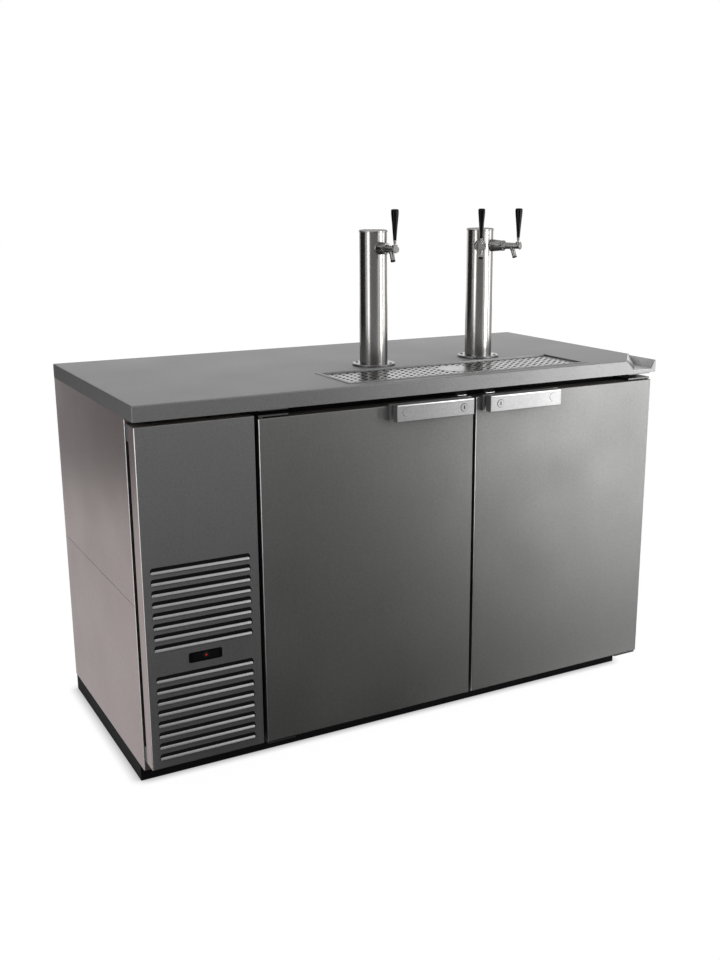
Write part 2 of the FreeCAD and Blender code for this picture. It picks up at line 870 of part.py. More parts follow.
def lever_passage():
    """The hourglass hole that the lever tilts in."""
    slope = math.tan(math.radians(lever_tilt))
    waist = lever_ball_radius + fit_clearance
    pivot = V(0, -lever_out, lever_pivot_rise)
    cones = []
    for reach, way in ((boss_top - lever_pivot_rise + cut_overrun, 1), (lever_cone_reach, -1)):
        cones.append(Part.makeCone(waist, waist + reach * slope, reach, pivot, V(0, 0, way)))
    return cones[0].fuse(cones[1])


def faucet_body():
    """The faucet: a tapered body with a bonnet, a slanted spout and the lever's boss."""
    bonnet_start = faucet_reach - bonnet_height
    body = turned_faucet_part([(shank_end, 0), (shank_end, shank_radius),
                               (nut_end, shank_radius), (nut_end, body_back_radius),
                               (bonnet_start, body_front_radius), (bonnet_start, bonnet_radius),
                               (faucet_reach, bonnet_radius), (faucet_reach, 0)])
    body = rounded(body, bonnet_round,
                   lambda b: flat_at(b.YMin, b.YMax, -faucet_reach) and b.XLength > bonnet_radius)
    boss = rod(boss_radius, V(0, -lever_out, 0), V(0, -lever_out, boss_top))
    spout = rod(spout_radius, V(0, -spout_start, 0), V(0, -spout_end, -spout_drop))
    chamber = rod(chamber_radius, V(0, -nut_end, 0), V(0, -bonnet_start, 0))
    inlet = rod(shank_bore_radius, V(0, -shank_start, 0), V(0, -spout_start, 0))
    slope = V(0, spout_start - spout_end, -spout_drop).normalize() * cut_overrun
    bore = rod(spout_bore_radius, V(0, -spout_start, 0), V(0, -spout_end, -spout_drop) + slope)
    body = body.fuse(boss).fuse(spout).removeSplitter()
    return body.cut(chamber).cut(inlet).cut(bore).cut(lever_passage())


def faucet_lever():
    """The lever: a ball in the boss, a stem in the chamber, a shaft, a ferrule and a stud."""
    pivot = V(0, -lever_out, lever_pivot_rise)
    foot = pivot - V(0, 0, lever_stem_drop)
    head = V(0, -lever_out, tap_handle_rise)
    ferrule = head - V(0, 0, lever_ferrule_height)
    lever = Part.makeSphere(lever_ball_radius, pivot)
    lever = lever.fuse(rod(lever_stem_radius, foot, pivot))
    lever = lever.fuse(rod(lever_shaft_radius, pivot, head))
    collar = lever_ferrule_height / 4
    lever = lever.fuse(turned([(0, 0), (0, lever_ferrule_radius), (collar, lever_ferrule_radius),
                               (2 * collar, lever_waist_radius),
                               (3 * collar, lever_ferrule_radius),
                               (lever_ferrule_height, lever_ferrule_radius),
                               (lever_ferrule_height, 0)], ferrule, V(0, 0, 1), V(1, 0, 0)))
    return lever.fuse(rod(lever_stud_radius, head, head + V(0, 0, lever_stud_length)))


def tap_handle():
    """The tap handle: a tapered grip with a rounded head, screwed on to the lever's stud."""
    shoulder = tap_handle_length - tap_handle_head_height
    grip = turned([(0, 0), (0, tap_handle_foot_radius), (shoulder, tap_handle_head_radius),
                   (tap_handle_length, tap_handle_head_radius), (tap_handle_length, 0)],
                  V(0, -lever_out, tap_handle_rise), V(0, 0, 1), V(1, 0, 0))
    top = tap_handle_rise + tap_handle_length
    grip = rounded(grip, tap_handle_round, lambda b: flat_at(b.ZMin, b.ZMax, top))
    foot = V(0, -lever_out, tap_handle_rise)
    socket = rod(lever_stud_radius + running_clearance, foot - V(0, 0, cut_overrun),
                 foot + V(0, 0, lever_stud_length + loose_clearance))
    return grip.cut(socket)


def beer_line_riser():
    """The beer tube from a shank down the tower, with a hose tail under the ceiling."""
    shoulder = V(0, -riser_out, keg_top - riser_shoulder - faucet_z)
    bottom = V(0, -riser_out, riser_bottom - faucet_z)
    points = [V(0, -shank_start, 0), V(0, -riser_out, 0), shoulder]
    riser = bent_tube(riser_radius, riser_bore_radius, points, riser_bend - running_clearance)
    return riser.fuse(tube(riser_tail_radius, riser_bore_radius, bottom, shoulder))


def lock_x(x0, x1, side):
    """The lock's place along a door; side is 1 where the door is hinged at its left."""
    edge = x1 if side > 0 else x0
    return edge - side * (handle_inset + lock_inset)


def hinge_x(x0, x1, side):
    """The hinge axis of a door."""
    return x0 + hinge_offset if side > 0 else x1 - hinge_offset


def hinge_holes(x0, x1, side):
    """The cuts for the hinge pins in a door's top and bottom."""
    x = hinge_x(x0, x1, side)
    radius = hinge_pin_radius + running_clearance
    reach = hinge_pin_reach + loose_clearance
    low = rod(radius, V(x, hinge_y, door_bottom - cut_overrun), V(x, hinge_y, door_bottom + reach))
    high = rod(radius, V(x, hinge_y, door_top - reach), V(x, hinge_y, door_top + cut_overrun))
    return Part.makeCompound([low, high])


def lock_pocket(x0, x1, side):
    """The cuts in a door for its lock's plug and for the cam's quarter turn."""
    x = lock_x(x0, x1, side)
    plug = rod(lock_plug_radius + fit_clearance, V(x, handle_front, lock_z),
               V(x, door_front + cam_front_gap, lock_z))
    c0, c1 = sorted((x + side * (cam_width / 2 + cam_clearance),
                     x - side * (cam_length + cam_clearance)))
    y0 = door_front + cam_front_gap - cam_clearance
    y1 = door_front + cam_front_gap + cam_thickness + cam_clearance
    low = lock_z - cam_width / 2 - cam_clearance
    half = lock_plug_radius + cam_clearance
    behind = box(x - half, x + half, y0, y1, lock_z - half, lock_z + half)
    return plug.fuse(box(c0, c1, y0, y1, low, door_top + cut_overrun)).fuse(behind)


def door_skin(x0, x1, side):
    """A door's outer sheet, folded back at all four edges."""
    outer = box(x0, x1, door_front, door_back, door_bottom, door_top)
    outer = rounded(outer, fold_radius, lambda b: flat_at(b.YMin, b.YMax, door_front))
    inner = box(x0 + outer_sheet, x1 - outer_sheet, door_front + outer_sheet,
                door_back + cut_overrun, door_bottom + outer_sheet, door_top - outer_sheet)
    return outer.cut(inner).cut(hinge_holes(x0, x1, side)).cut(lock_pocket(x0, x1, side))


def door_core(x0, x1, side):
    """A door's foam core."""
    core = box(x0 + outer_sheet, x1 - outer_sheet, door_front + outer_sheet,
               door_back - liner_sheet, door_bottom + outer_sheet, door_top - outer_sheet)
    return core.cut(hinge_holes(x0, x1, side)).cut(lock_pocket(x0, x1, side))


def door_inner_panel(x0, x1):
    """A door's inner sheet."""
    return box(x0 + outer_sheet, x1 - outer_sheet, door_back - liner_sheet, door_back,
               door_bottom + outer_sheet, door_top - outer_sheet)


def ring(x0, x1, y0, y1, z0, z1, width):
    """A rectangular ring that stands in the X and Z plane."""
    outer = box(x0, x1, y0, y1, z0, z1)
    return outer.cut(box(x0 + width, x1 - width, y0 - cut_overrun, y1 + cut_overrun,
                         z0 + width, z1 - width))


def door_gasket(x0, x1):
    """A door's magnetic gasket: a flat foot and a narrower bead that meets the frame."""
    foot_back = door_back + gasket_foot
    foot = ring(x0 + gasket_inset, x1 - gasket_inset, door_back, foot_back,
                door_bottom + gasket_inset, door_top - gasket_inset, gasket_width)
    inset = gasket_inset + (gasket_width - gasket_bead_width) / 2
    bead = ring(x0 + inset, x1 - inset, foot_back, front_setback - fit_clearance,
                door_bottom + inset, door_top - inset, gasket_bead_width)
    return foot.fuse(bead)


def door_handle(x0, x1, side):
    """A bar handle: an inverted channel on a base, with a lock bezel and a blank disc."""
    edge = x1 - handle_inset if side > 0 else x0 + handle_inset
    h0, h1 = sorted((edge, edge - side * handle_length))
    bar_back = handle_front + handle_bar_depth
    bar = box(h0, h1, handle_front, bar_back, handle_bottom, handle_top)
    bar = rounded(bar, handle_round, lambda b: b.YMax < handle_front + handle_wall)
    neck_top = handle_top - handle_neck_inset
    neck = box(h0 + handle_neck_inset, h1 - handle_neck_inset, bar_back, handle_base_front,
               neck_top - handle_wall, neck_top)
    for back, top in ((bar_back - handle_wall, handle_top - handle_wall),
                      (bar_back + cut_overrun, neck_top - handle_wall)):
        bar = bar.cut(box(h0 + handle_wall, h1 - handle_wall, handle_front + handle_wall, back,
                          handle_bottom - cut_overrun, top))
    base = box(h0 - handle_base_overhang, h1 + handle_base_overhang, handle_base_front,
               door_front, handle_bottom, handle_top)
    handle = bar.fuse(neck).fuse(base)
    lock = V(lock_x(x0, x1, side), handle_front, lock_z)
    proud = V(0, -lock_bezel_height, 0)
    handle = handle.fuse(rod(lock_bezel_radius, lock + proud, lock))
    far = h0 + disc_inset if side > 0 else h1 - disc_inset
    disc = V(far, handle_front, lock_z + disc_rise)
    handle = handle.fuse(rod(disc_radius, disc - V(0, disc_height, 0), disc))
    hole = rod(lock_plug_radius + running_clearance, lock + proud * 2, V(lock.x, door_back, lock_z))
    return handle.cut(hole)


def door_lock(x0, x1, side):
    """A lock: a plug with a key slot, and a cam that turns up behind the keeper."""
    x = lock_x(x0, x1, side)
    front = V(x, lock_front, lock_z)
    cam_front = door_front + cam_front_gap
    plug = rod(lock_plug_radius, front, V(x, cam_front, lock_z))
    slot = box(x - key_slot_width / 2, x + key_slot_width / 2, front.y - cut_overrun,
               front.y + key_slot_depth, lock_z - key_slot_height / 2, lock_z + key_slot_height / 2)
    c0, c1 = sorted((x + side * cam_width / 2, x - side * cam_length))
    cam = box(c0, c1, cam_front, cam_front + cam_thickness,
              lock_z - cam_width / 2, lock_z + cam_width / 2)
    return plug.cut(slot).fuse(cam)


def lock_strike(x0, x1, side):
    """The keeper under the worktop: a flange with a lip in front of the lock's cam."""
    middle = lock_x(x0, x1, side) + side * strike_shift
    s0 = middle - strike_length / 2
    s1 = middle + strike_length / 2
    flange = box(s0, s1, door_front, door_front + strike_depth,
                 apron_bottom - strike_sheet, apron_bottom)
    lip = box(s0, s1, door_front, door_front + strike_sheet,
              apron_bottom - strike_lip, apron_bottom - strike_sheet)
    return flange.fuse(lip).removeSplitter()


def hinge_bracket(x0, x1, side, top):
    """A hinge bracket: a channel on the door frame whose near flange carries the pin."""
    x = hinge_x(x0, x1, side)
    h0, h1 = sorted((x - side * (hinge_offset - hinge_door_gap / 2),
                     x - side * (hinge_offset - hinge_door_gap / 2) + side * hinge_length))
    y0 = door_front + hinge_front_gap
    y1 = front_setback
    if top:
        near = door_top + hinge_door_gap
        far = apron_bottom
        toward = 1
    else:
        near = door_bottom - hinge_door_gap
        far = floor_top
        toward = -1
    n0, n1 = sorted((near, near + toward * hinge_plate))
    f0, f1 = sorted((far, far - toward * hinge_plate))
    w0, w1 = sorted((near, far))
    bracket = box(h0, h1, y0, y1, n0, n1).fuse(box(h0, h1, y1 - hinge_plate, y1, w0, w1))
    if top:
        bracket = bracket.fuse(box(h0, h1, y0, y1, f0, f1))
    pin = rod(hinge_pin_radius, V(x, hinge_y, near),
              V(x, hinge_y, near - toward * (hinge_pin_reach + hinge_door_gap)))
    return bracket.removeSplitter().fuse(pin)


def rounded_plate(x0, x1, y0, y1, z0, z1, radius):
    """A plate that faces forward, with rounded corners."""
    plate = box(x0, x1, y0, y1, z0, z1)
    return rounded(plate, radius, lambda b: b.YLength > (y1 - y0) / 2)


def louvre(z):
    """One louvre, as the slot that is cut and the lip that leans in behind it."""
    half = louvre_width / 2
    x0 = panel_middle - half
    x1 = panel_middle + half
    low = z - louvre_opening / 2
    slot = rounded_plate(x0, x1, door_front - cut_overrun, door_front + outer_sheet, low,
                         low + louvre_opening, louvre_round)
    inner = door_front + outer_sheet
    lip = prism([V(x0 + louvre_inset, door_front, low - outer_sheet),
                 V(x0 + louvre_inset, door_front, low),
                 V(x0 + louvre_inset, inner + louvre_run, low + louvre_rise),
                 V(x0 + louvre_inset, inner + louvre_run, low + louvre_rise - outer_sheet)],
                V(louvre_width - 2 * louvre_inset, 0, 0))
    return slot, lip


def display_module(border, y0, y1):
    """The display's outline, drawn in by a border, between two depths."""
    half_width = display_width / 2 - border
    half_height = display_height / 2 - border
    return (panel_middle - half_width, panel_middle + half_width, y0, y1,
            display_middle - half_height, display_middle + half_height)


def temperature_display():
    """The temperature display: a black window on the panel and its housing behind."""
    bezel = rounded_plate(*display_module(0, door_front - display_proud, door_front),
                          display_round)
    return bezel.fuse(box(*display_module(display_border, door_front, door_front + display_depth)))


def grille_panel():
    """The machine bay's front: a folded panel with two banks of louvres."""
    x0 = panel_left_gap
    x1 = machine_right
    y1 = door_front + panel_depth
    outer = box(x0, x1, door_front, y1, door_bottom, panel_top)
    outer = rounded(outer, fold_radius, lambda b: flat_at(b.YMin, b.YMax, door_front))
    inner = box(x0 + outer_sheet, x1 - outer_sheet, door_front + outer_sheet, y1 + cut_overrun,
                door_bottom + outer_sheet, panel_top - outer_sheet)
    panel = outer.cut(inner)
    slots = []
    blades = []
    banks = ((upper_bank_middle, louvre_pitch), (lower_bank_middle, lower_louvre_pitch))
    for middle, pitch in banks:
        first = middle - pitch * (louvre_rows - 1) / 2
        for row in range(louvre_rows):
            slot, blade = louvre(first + pitch * row)
            slots.append(slot)
            blades.append(blade)
    panel = panel.cut(Part.makeCompound(slots)).fuse(blades)
    window = box(*display_module(display_border - fit_clearance, door_front - cut_overrun,
                                 door_front + cut_overrun))
    panel = panel.cut(window)
    for x in (x0, x1 - outer_sheet):
        for z in (door_bottom, panel_top - panel_ear_height):
            panel = panel.fuse(box(x, x + outer_sheet, y1, front_setback, z, z + panel_ear_height))
    return panel


def compressor():
    """The hermetic compressor: a domed shell on a plate with four feet."""
    x = panel_middle
    bottom = floor_top + compressor_foot_height
    shell = rod(compressor_radius, V(x, compressor_y, bottom + compressor_plate),
                V(x, compressor_y, bottom + compressor_plate + compressor_height))
    shell = shell.makeFillet(compressor_round, [e for e in shell.Edges if e.Closed])
    half = compressor_foot_circle - compressor_foot_radius / 2
    plate = box(x - half, x + half, compressor_y - half, compressor_y + half,
                bottom, bottom + compressor_plate)
    neck = rod(compressor_radius / 2, V(x, compressor_y, bottom),
               V(x, compressor_y, bottom + compressor_plate + compressor_round))
    body = shell.fuse(neck).fuse(plate)
    reach = half - compressor_foot_radius
    for dx in (-reach, reach):
        for dy in (-reach, reach):
            foot = V(x + dx, compressor_y + dy, floor_top)
            body = body.fuse(rod(compressor_foot_radius, foot, V(foot.x, foot.y, bottom)))
    return body


def coil_bends(x_face, outward, y, z_first, z_step):
    """Return bends down one end of a coil."""
    bends = []
    for index in range(coil_bend_count):
        z = z_first + z_step * index
        circle = Part.Circle(V(x_face, y, z + coil_bend_radius), V(1, 0, 0), coil_tube_radius)
        face = Part.Face(Part.Wire(circle.toShape()))
        bends.append(face.revolve(V(x_face, y, z), V(0, outward, 0), half_turn))
    return bends


def coil(x0, x1, y0, y1, z0, z1):
    """A finned coil block between two end plates, with return bends at both ends."""
    block = box(x0 + coil_end_plate, x1 - coil_end_plate, y0, y1, z0, z1)
    block = block.fuse(box(x0, x0 + coil_end_plate, y0 - coil_end_plate, y1 + coil_end_plate, z0, z1))
    block = block.fuse(box(x1 - coil_end_plate, x1, y0 - coil_end_plate, y1 + coil_end_plate, z0, z1))
    step = (z1 - z0) / coil_bend_count
    middle = (y0 + y1) / 2
    bends = coil_bends(x1, 1, middle, z0 + step / 2, step)
    return block.fuse(bends)


def condenser_coil():
    """The condenser, standing on the floor behind the lower louvres."""
    half = condenser_width / 2
    return coil(panel_middle - half, panel_middle + half, condenser_y0, condenser_y1,
                floor_top, floor_top + condenser_height)


def evaporator_coil():
    """The evaporator's coil, flat against the bulkhead's liner."""
    x0 = evaporator_left
    x1 = x0 + evaporator_coil_thickness
    y0 = evaporator_front + evaporator_coil_margin
    y1 = evaporator_back - evaporator_coil_margin
    z0 = evaporator_bottom + evaporator_coil_margin
    z1 = evaporator_top - evaporator_coil_margin
    return box(x0, x1, y0, y1, z0, z1)


def fan(radius, shaft_start):
    """A fan about the Z axis: a hub on the motor's shaft and pitched blades."""
    hub = rod(fan_hub_radius, V(0, 0, 0), V(0, 0, fan_hub_depth))
    rim = rod(radius, V(0, 0, -fan_hub_depth), V(0, 0, 2 * fan_hub_depth))
    middle = fan_hub_depth / 2
    blades = []
    for index in range(fan_blade_count):
        blade = box(fan_hub_radius / 2, radius + cut_overrun, -fan_blade_chord / 2,
                    fan_blade_chord / 2, middle - fan_blade_thickness / 2,
                    middle + fan_blade_thickness / 2)
        blade.rotate(V(0, 0, middle), V(1, 0, 0), fan_blade_pitch)
        blade = blade.common(rim)
        blade.rotate(V(0, 0, 0), V(0, 0, 1), full_turn * index / fan_blade_count)
        blades.append(blade)
    bore = rod(motor_shaft_radius + running_clearance, V(0, 0, -cut_overrun),
               V(0, 0, shaft_start))
    return hub.fuse(blades).cut(bore)


def motor():
    """A fan motor about the Z axis: a can with a shaft towards the fan."""
    can = rod(motor_radius, V(0, 0, 0), V(0, 0, motor_depth))
    return can.fuse(rod(motor_shaft_radius, V(0, 0, -fan_hub_depth), V(0, 0, 0)))


def motor_on_arms(reach, drop):
    """A fan motor on four arms, whose ends turn forward to the coil in front of the fan."""
    body = motor()
    half = motor_arm_width / 2
    z0 = motor_depth - motor_arm_thickness
    for index in range(motor_arm_count):
        arm = box(0, reach, -half, half, z0, motor_depth)
        leg = box(reach - motor_arm_thickness, reach, -half, half, -drop, z0)
        for piece in (arm, leg):
            piece.rotate(V(0, 0, 0), V(0, 0, 1), full_turn * index / motor_arm_count)
            body = body.fuse(piece)
    return body.removeSplitter()


def motor_on_foot(length):
    """A fan motor on a round foot behind it."""
    start = V(0, 0, motor_depth)
    return motor().fuse(rod(motor_radius / 2, start, start + V(0, 0, length)))


def face_back(shape, centre):
    """Turns a shape whose axis is Z so that the axis runs along +Y from the centre."""
    shape = shape.copy()
    shape.rotate(V(0, 0, 0), V(1, 0, 0), -quarter_turn)
    shape.translate(centre)
    return shape


def face_left(shape, centre):
    """Turns a shape whose axis is Z so that the axis runs along -X from the centre."""
    shape = shape.copy()
    shape.rotate(V(0, 0, 0), V(0, 1, 0), -quarter_turn)
    shape.translate(centre)
    return shape


condenser_fan_centre = V(panel_middle, condenser_y1 + fan_gap, condenser_z)
condenser_motor_centre = condenser_fan_centre + V(0, fan_hub_depth + loose_clearance, 0)
evaporator_fan_centre = V(evaporator_right - liner_sheet - fan_gap, evaporator_y, evaporator_z)
evaporator_motor_centre = evaporator_fan_centre - V(fan_hub_depth + loose_clearance, 0, 0)


def fan_motors():
    """The condenser's fan motor and the evaporator's fan motor."""
    condenser = motor_on_arms(condenser_width / 2 - motor_arm_width,
                              condenser_motor_centre.y - condenser_y1)
    coil_face = evaporator_left + evaporator_coil_thickness
    evaporator = motor_on_foot(evaporator_motor_centre.x - motor_depth - coil_face)
    return [face_back(condenser, condenser_motor_centre),
            face_left(evaporator, evaporator_motor_centre)]


def evaporator_cover():
    """The evaporator's sheet cover, with the fan's round outlet and open at the liner."""
    outer = box(evaporator_left, evaporator_right, evaporator_front, evaporator_back,
                evaporator_bottom, evaporator_top)
    inner = box(evaporator_left - cut_overrun, evaporator_right - liner_sheet,
                evaporator_front + liner_sheet, evaporator_back - liner_sheet,
                evaporator_bottom + liner_sheet, evaporator_top - liner_sheet)
    outlet = rod(evaporator_outlet_radius,
                 V(evaporator_right - cut_overrun, evaporator_y, evaporator_z),
                 V(evaporator_right + cut_overrun, evaporator_y, evaporator_z))
    return outer.cut(inner).cut(outlet)


def refrigerant_lines():
    """The copper lines: compressor to condenser, and both coils through the bulkhead."""
    (liquid_y, liquid_z), (suction_y, suction_z) = line_passages()
    right = panel_middle + condenser_width / 2
    condenser_top = floor_top + condenser_height
    shell_top = floor_top + compressor_foot_height + compressor_plate + compressor_height
    side = compressor_radius - compressor_round - line_radius
    coil_face = evaporator_left
    discharge = [V(panel_middle + side, compressor_y, shell_top),
                 V(panel_middle + side, compressor_y, condenser_top + 2 * line_bend),
                 V(panel_middle + side, (condenser_y0 + condenser_y1) / 2,
                   condenser_top + 2 * line_bend),
                 V(panel_middle + side, (condenser_y0 + condenser_y1) / 2, condenser_top)]
    liquid = [V(right - line_bend, condenser_y0 + line_radius + line_hole_clearance, condenser_top),
              V(right - line_bend, condenser_y0 + line_radius + line_hole_clearance, liquid_z),
              V(right - line_bend, liquid_y, liquid_z),
              V(coil_face, liquid_y, liquid_z)]
    suction = [V(panel_middle - side, suction_y, shell_top),
               V(panel_middle - side, suction_y, suction_z),
               V(coil_face, suction_y, suction_z)]
    return [bent_tube(line_radius, line_bore_radius, points, line_bend)
            for points in (discharge, liquid, suction)]


def build():
    """Makes every node and writes it to its file."""
    os.makedirs("parts", exist_ok=True)
    save("base_long_rails", *base_long_rails())
    save("base_cross_rails", *base_cross_rails())
    save("floor_pan", floor_pan())
    save("side_panel_left_upper", side_panel(0, 1, seam_height + seam_gap / 2, apron_bottom))
    save("side_panel_left_lower", side_panel(0, 1, base_height, seam_height - seam_gap / 2))
    save("side_panel_right", right_side_panel())
    save("back_panel", back_panel())
    save("mains_gland", mains_gland())
    save("insulation_floor", insulation_floor())
    save("insulation_back", insulation_back())
    save("insulation_end_walls", *insulation_end_walls())
    save("keg_compartment_liner", keg_compartment_liner())
    save("door_frame", door_frame())
    save("worktop_skin", worktop_skin())
    save("worktop_insulation", *worktop_insulation())
    save("drip_tray_pan", *drip_tray_pan())
    save("drip_tray_drain", drip_tray_drain())
    save("drip_tray_grid", *drip_tray_grid())
    save("tower_gaskets", *[tower_gasket(x) for x in tower_xs])
    save("tower_flanges", *[tower_flange(x) for x in tower_xs])
    save("tower_screws", *[tower_screw(x, y) for x, y in screw_places()])
    save("tower_caps", *[tower_cap(x) for x in tower_xs])
    for tower, name in enumerate(("left", "right")):
        save("tower_column_" + name, tower_column(tower))
    save("faucet_shanks", *[out_from_tower(faucet_shank(), t, a) for _, t, a in faucets])
    save("coupling_nuts", *[out_from_tower(coupling_nut(), t, a) for _, t, a in faucets])
    save("beer_line_risers", *[out_from_tower(beer_line_riser(), t, a) for _, t, a in faucets])
    for name, tower, turn in faucets:
        save("faucet_body_" + name, out_from_tower(faucet_body(), tower, turn))
        save("faucet_lever_" + name, out_from_tower(faucet_lever(), tower, turn))
        save("tap_handle_" + name, out_from_tower(tap_handle(), tower, turn))
    for name, x0, x1, side in doors:
        save("door_skin_" + name, door_skin(x0, x1, side))
        save("door_core_" + name, door_core(x0, x1, side))
        save("door_inner_panel_" + name, door_inner_panel(x0, x1))
        save("door_gasket_" + name, door_gasket(x0, x1))
        save("door_handle_" + name, door_handle(x0, x1, side))
        save("door_lock_" + name, door_lock(x0, x1, side))
    save("lock_strikes", *[lock_strike(x0, x1, side) for _, x0, x1, side in doors])
    save("hinge_brackets", *[hinge_bracket(x0, x1, side, top)
                             for _, x0, x1, side in doors for top in (False, True)])
    save("grille_panel", grille_panel())
    save("temperature_display", temperature_display())
    save("compressor", compressor())
    save("condenser_coil", condenser_coil())
    save("condenser_fan", face_back(fan(condenser_fan_radius, 2 * fan_hub_depth),
                                    condenser_fan_centre))
    save("fan_motors", *fan_motors())
    save("refrigerant_lines", *refrigerant_lines())
    save("evaporator_cover", evaporator_cover())
    save("evaporator_coil", evaporator_coil())
    save("evaporator_fan", face_left(fan(evaporator_fan_radius, 2 * fan_hub_depth),
                                     evaporator_fan_centre))


build()
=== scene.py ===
import math

import bmesh
import bpy
from mathutils import Matrix, Vector


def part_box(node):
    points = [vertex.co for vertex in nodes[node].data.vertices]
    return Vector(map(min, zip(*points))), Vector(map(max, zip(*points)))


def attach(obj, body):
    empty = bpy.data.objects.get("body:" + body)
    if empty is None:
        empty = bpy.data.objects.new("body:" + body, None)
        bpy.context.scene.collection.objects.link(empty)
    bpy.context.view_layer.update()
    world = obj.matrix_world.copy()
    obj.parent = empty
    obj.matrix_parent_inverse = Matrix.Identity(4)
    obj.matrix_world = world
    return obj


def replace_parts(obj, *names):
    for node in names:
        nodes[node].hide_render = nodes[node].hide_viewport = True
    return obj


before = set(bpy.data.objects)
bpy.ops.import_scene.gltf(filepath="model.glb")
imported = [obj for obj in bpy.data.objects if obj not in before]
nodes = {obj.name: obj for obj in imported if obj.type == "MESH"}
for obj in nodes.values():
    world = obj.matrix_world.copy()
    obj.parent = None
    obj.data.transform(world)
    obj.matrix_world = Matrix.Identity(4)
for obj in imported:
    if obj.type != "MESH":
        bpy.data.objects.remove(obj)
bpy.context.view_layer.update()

# The looks of a two-door draught beer cooler: a finish for every CAD node, finer pieces over some
# of them, a pale studio and the photo's camera. Lengths are metres. X runs along the front to the
# right, Y to the back and Z up, with the origin on the floor under the middle.

V = Vector
scene = bpy.context.scene

# ------------------------------------------------------------------ shader helpers


class NodeTree:
    """A node tree with short ways to add nodes, set them and join them."""

    def __init__(self, tree):
        self.tree = tree

    def feed(self, node, **values):
        """Sets a node's properties, and sets or links its inputs by name."""
        for key, value in values.items():
            label = key.replace("_", " ")
            if isinstance(value, bpy.types.NodeSocket):
                self.tree.links.new(value, node.inputs[label])
            elif hasattr(node, key):
                setattr(node, key, value)
            else:
                node.inputs[label].default_value = value
        return node

    def add(self, kind, **values):
        return self.feed(self.tree.nodes.new(kind), **values)

    def join(self, *pairs):
        """Links outputs to inputs that have no name of their own."""
        for output, socket in pairs:
            self.tree.links.new(output, socket)

    def math(self, kind, first, second):
        """Arithmetic on a value and another value or a number."""
        node = self.add("ShaderNodeMath", operation=kind)
        self.join((first, node.inputs[0]))
        if isinstance(second, (int, float)):
            node.inputs[1].default_value = second
        else:
            self.join((second, node.inputs[1]))
        return node.outputs[0]

    def weighed(self, first, first_share, second, second_share):
        """The sum of two values, each times its share."""
        return self.math("ADD", self.math("MULTIPLY", first, first_share),
                         self.math("MULTIPLY", second, second_share))

    def spread(self, source, low, high, from_low=0.3, from_high=0.7):
        """A value mapped from one range to another."""
        return self.add("ShaderNodeMapRange", Value=source, From_Min=from_low, From_Max=from_high,
                        To_Min=low, To_Max=high).outputs["Result"]

    def tint(self, source, first, second):
        """A colour between two, by a value."""
        return self.add("ShaderNodeMix", data_type="RGBA", Factor=source,
                        A=(*first, 1), B=(*second, 1)).outputs["Result"]

    def place(self, scale):
        """Object coordinates, times a scale along each axis."""
        coordinates = self.add("ShaderNodeTexCoord").outputs["Object"]
        return self.add("ShaderNodeMapping", Scale=scale, Vector=coordinates).outputs["Vector"]

    def noise(self, scale, detail=3.0, rough=0.55):
        """Noise with so many spots to a metre along each axis."""
        return self.add("ShaderNodeTexNoise", Scale=1.0, Detail=detail, Roughness=rough,
                        Vector=self.place(scale)).outputs["Fac"]


class Look(NodeTree):
    """A new material and its principled shader."""

    def __init__(self, name):
        self.material = bpy.data.materials.new(name)
        self.material.use_nodes = True
        super().__init__(self.material.node_tree)
        self.shader = self.tree.nodes["Principled BSDF"]

    def shade(self, **values):
        self.feed(self.shader, **values)

    def bump(self, height, strength, depth):
        node = self.add("ShaderNodeBump", Strength=strength, Distance=depth, Height=height)
        self.shade(Normal=node.outputs["Normal"])


def even(scale):
    """One scale along all three axes."""
    return (scale, scale, scale)


def steel(name, grey, rough, grain, depth, hue=(1.0, 1.0, 1.0), edge=0.6, vary=0.1, patchy=0.14):
    """Brushed or polished steel: long grain, faint mottling, rough patches and a fine bump."""
    look = Look(name)
    look.shade(Metallic=1.0, Specular_Tint=(edge, edge, edge, 1))
    lines = look.noise(grain, 4.0, 0.7)
    cloud = look.noise(even(5.0), 3.0, 0.5)
    speck = look.noise(even(170.0), 2.0, 0.6)
    low = tuple(grey * (1 - vary) * part for part in hue)
    high = tuple(min(1.0, grey * (1 + vary) * part) for part in hue)
    mottle = look.spread(look.weighed(lines, 0.5, speck, 0.5), 0.0, 1.0, 0.35, 0.65)
    patch = look.weighed(cloud, 0.6, lines, 0.4)
    look.shade(Base_Color=look.tint(mottle, low, high),
               Roughness=look.spread(patch, rough * (1 - patchy), rough * (1 + patchy)))
    look.bump(look.math("ADD", lines, speck), 0.35, depth)
    return look.material


def dull(name, colour, rough, depth=0.0003, grain=even(420.0), shine=0.5, vary=0.15, uneven=0.15):
    """Paint, rubber, plastic or foam with a faint texture and uneven sheen."""
    look = Look(name)
    fine = look.noise(grain, 3.0, 0.6)
    broad = look.noise(even(9.0), 3.0, 0.5)
    low = tuple(part * (1 - vary) for part in colour)
    high = tuple(min(1.0, part * (1 + vary)) for part in colour)
    look.shade(Specular_IOR_Level=shine,
               Base_Color=look.tint(look.spread(broad, 0.0, 1.0), low, high),
               Roughness=look.spread(fine, rough * (1 - uneven), min(1.0, rough * (1 + uneven))))
    look.bump(fine, 0.3, depth)
    return look.material


def stucco(name, grey, rough, uneven=0.15):
    """Embossed aluminium liner."""
    look = Look(name)
    cells = look.add("ShaderNodeTexVoronoi", feature="SMOOTH_F1", Scale=1.0,
                     Vector=look.place(even(130.0))).outputs["Distance"]
    patch = look.noise(even(6.0))
    look.shade(Metallic=1.0, Base_Color=look.tint(cells, even(grey), even(grey * 0.8)),
               Roughness=look.spread(patch, rough * (1 - uneven), rough * (1 + uneven)))
    look.bump(cells, 0.35, 0.0005)
    return look.material


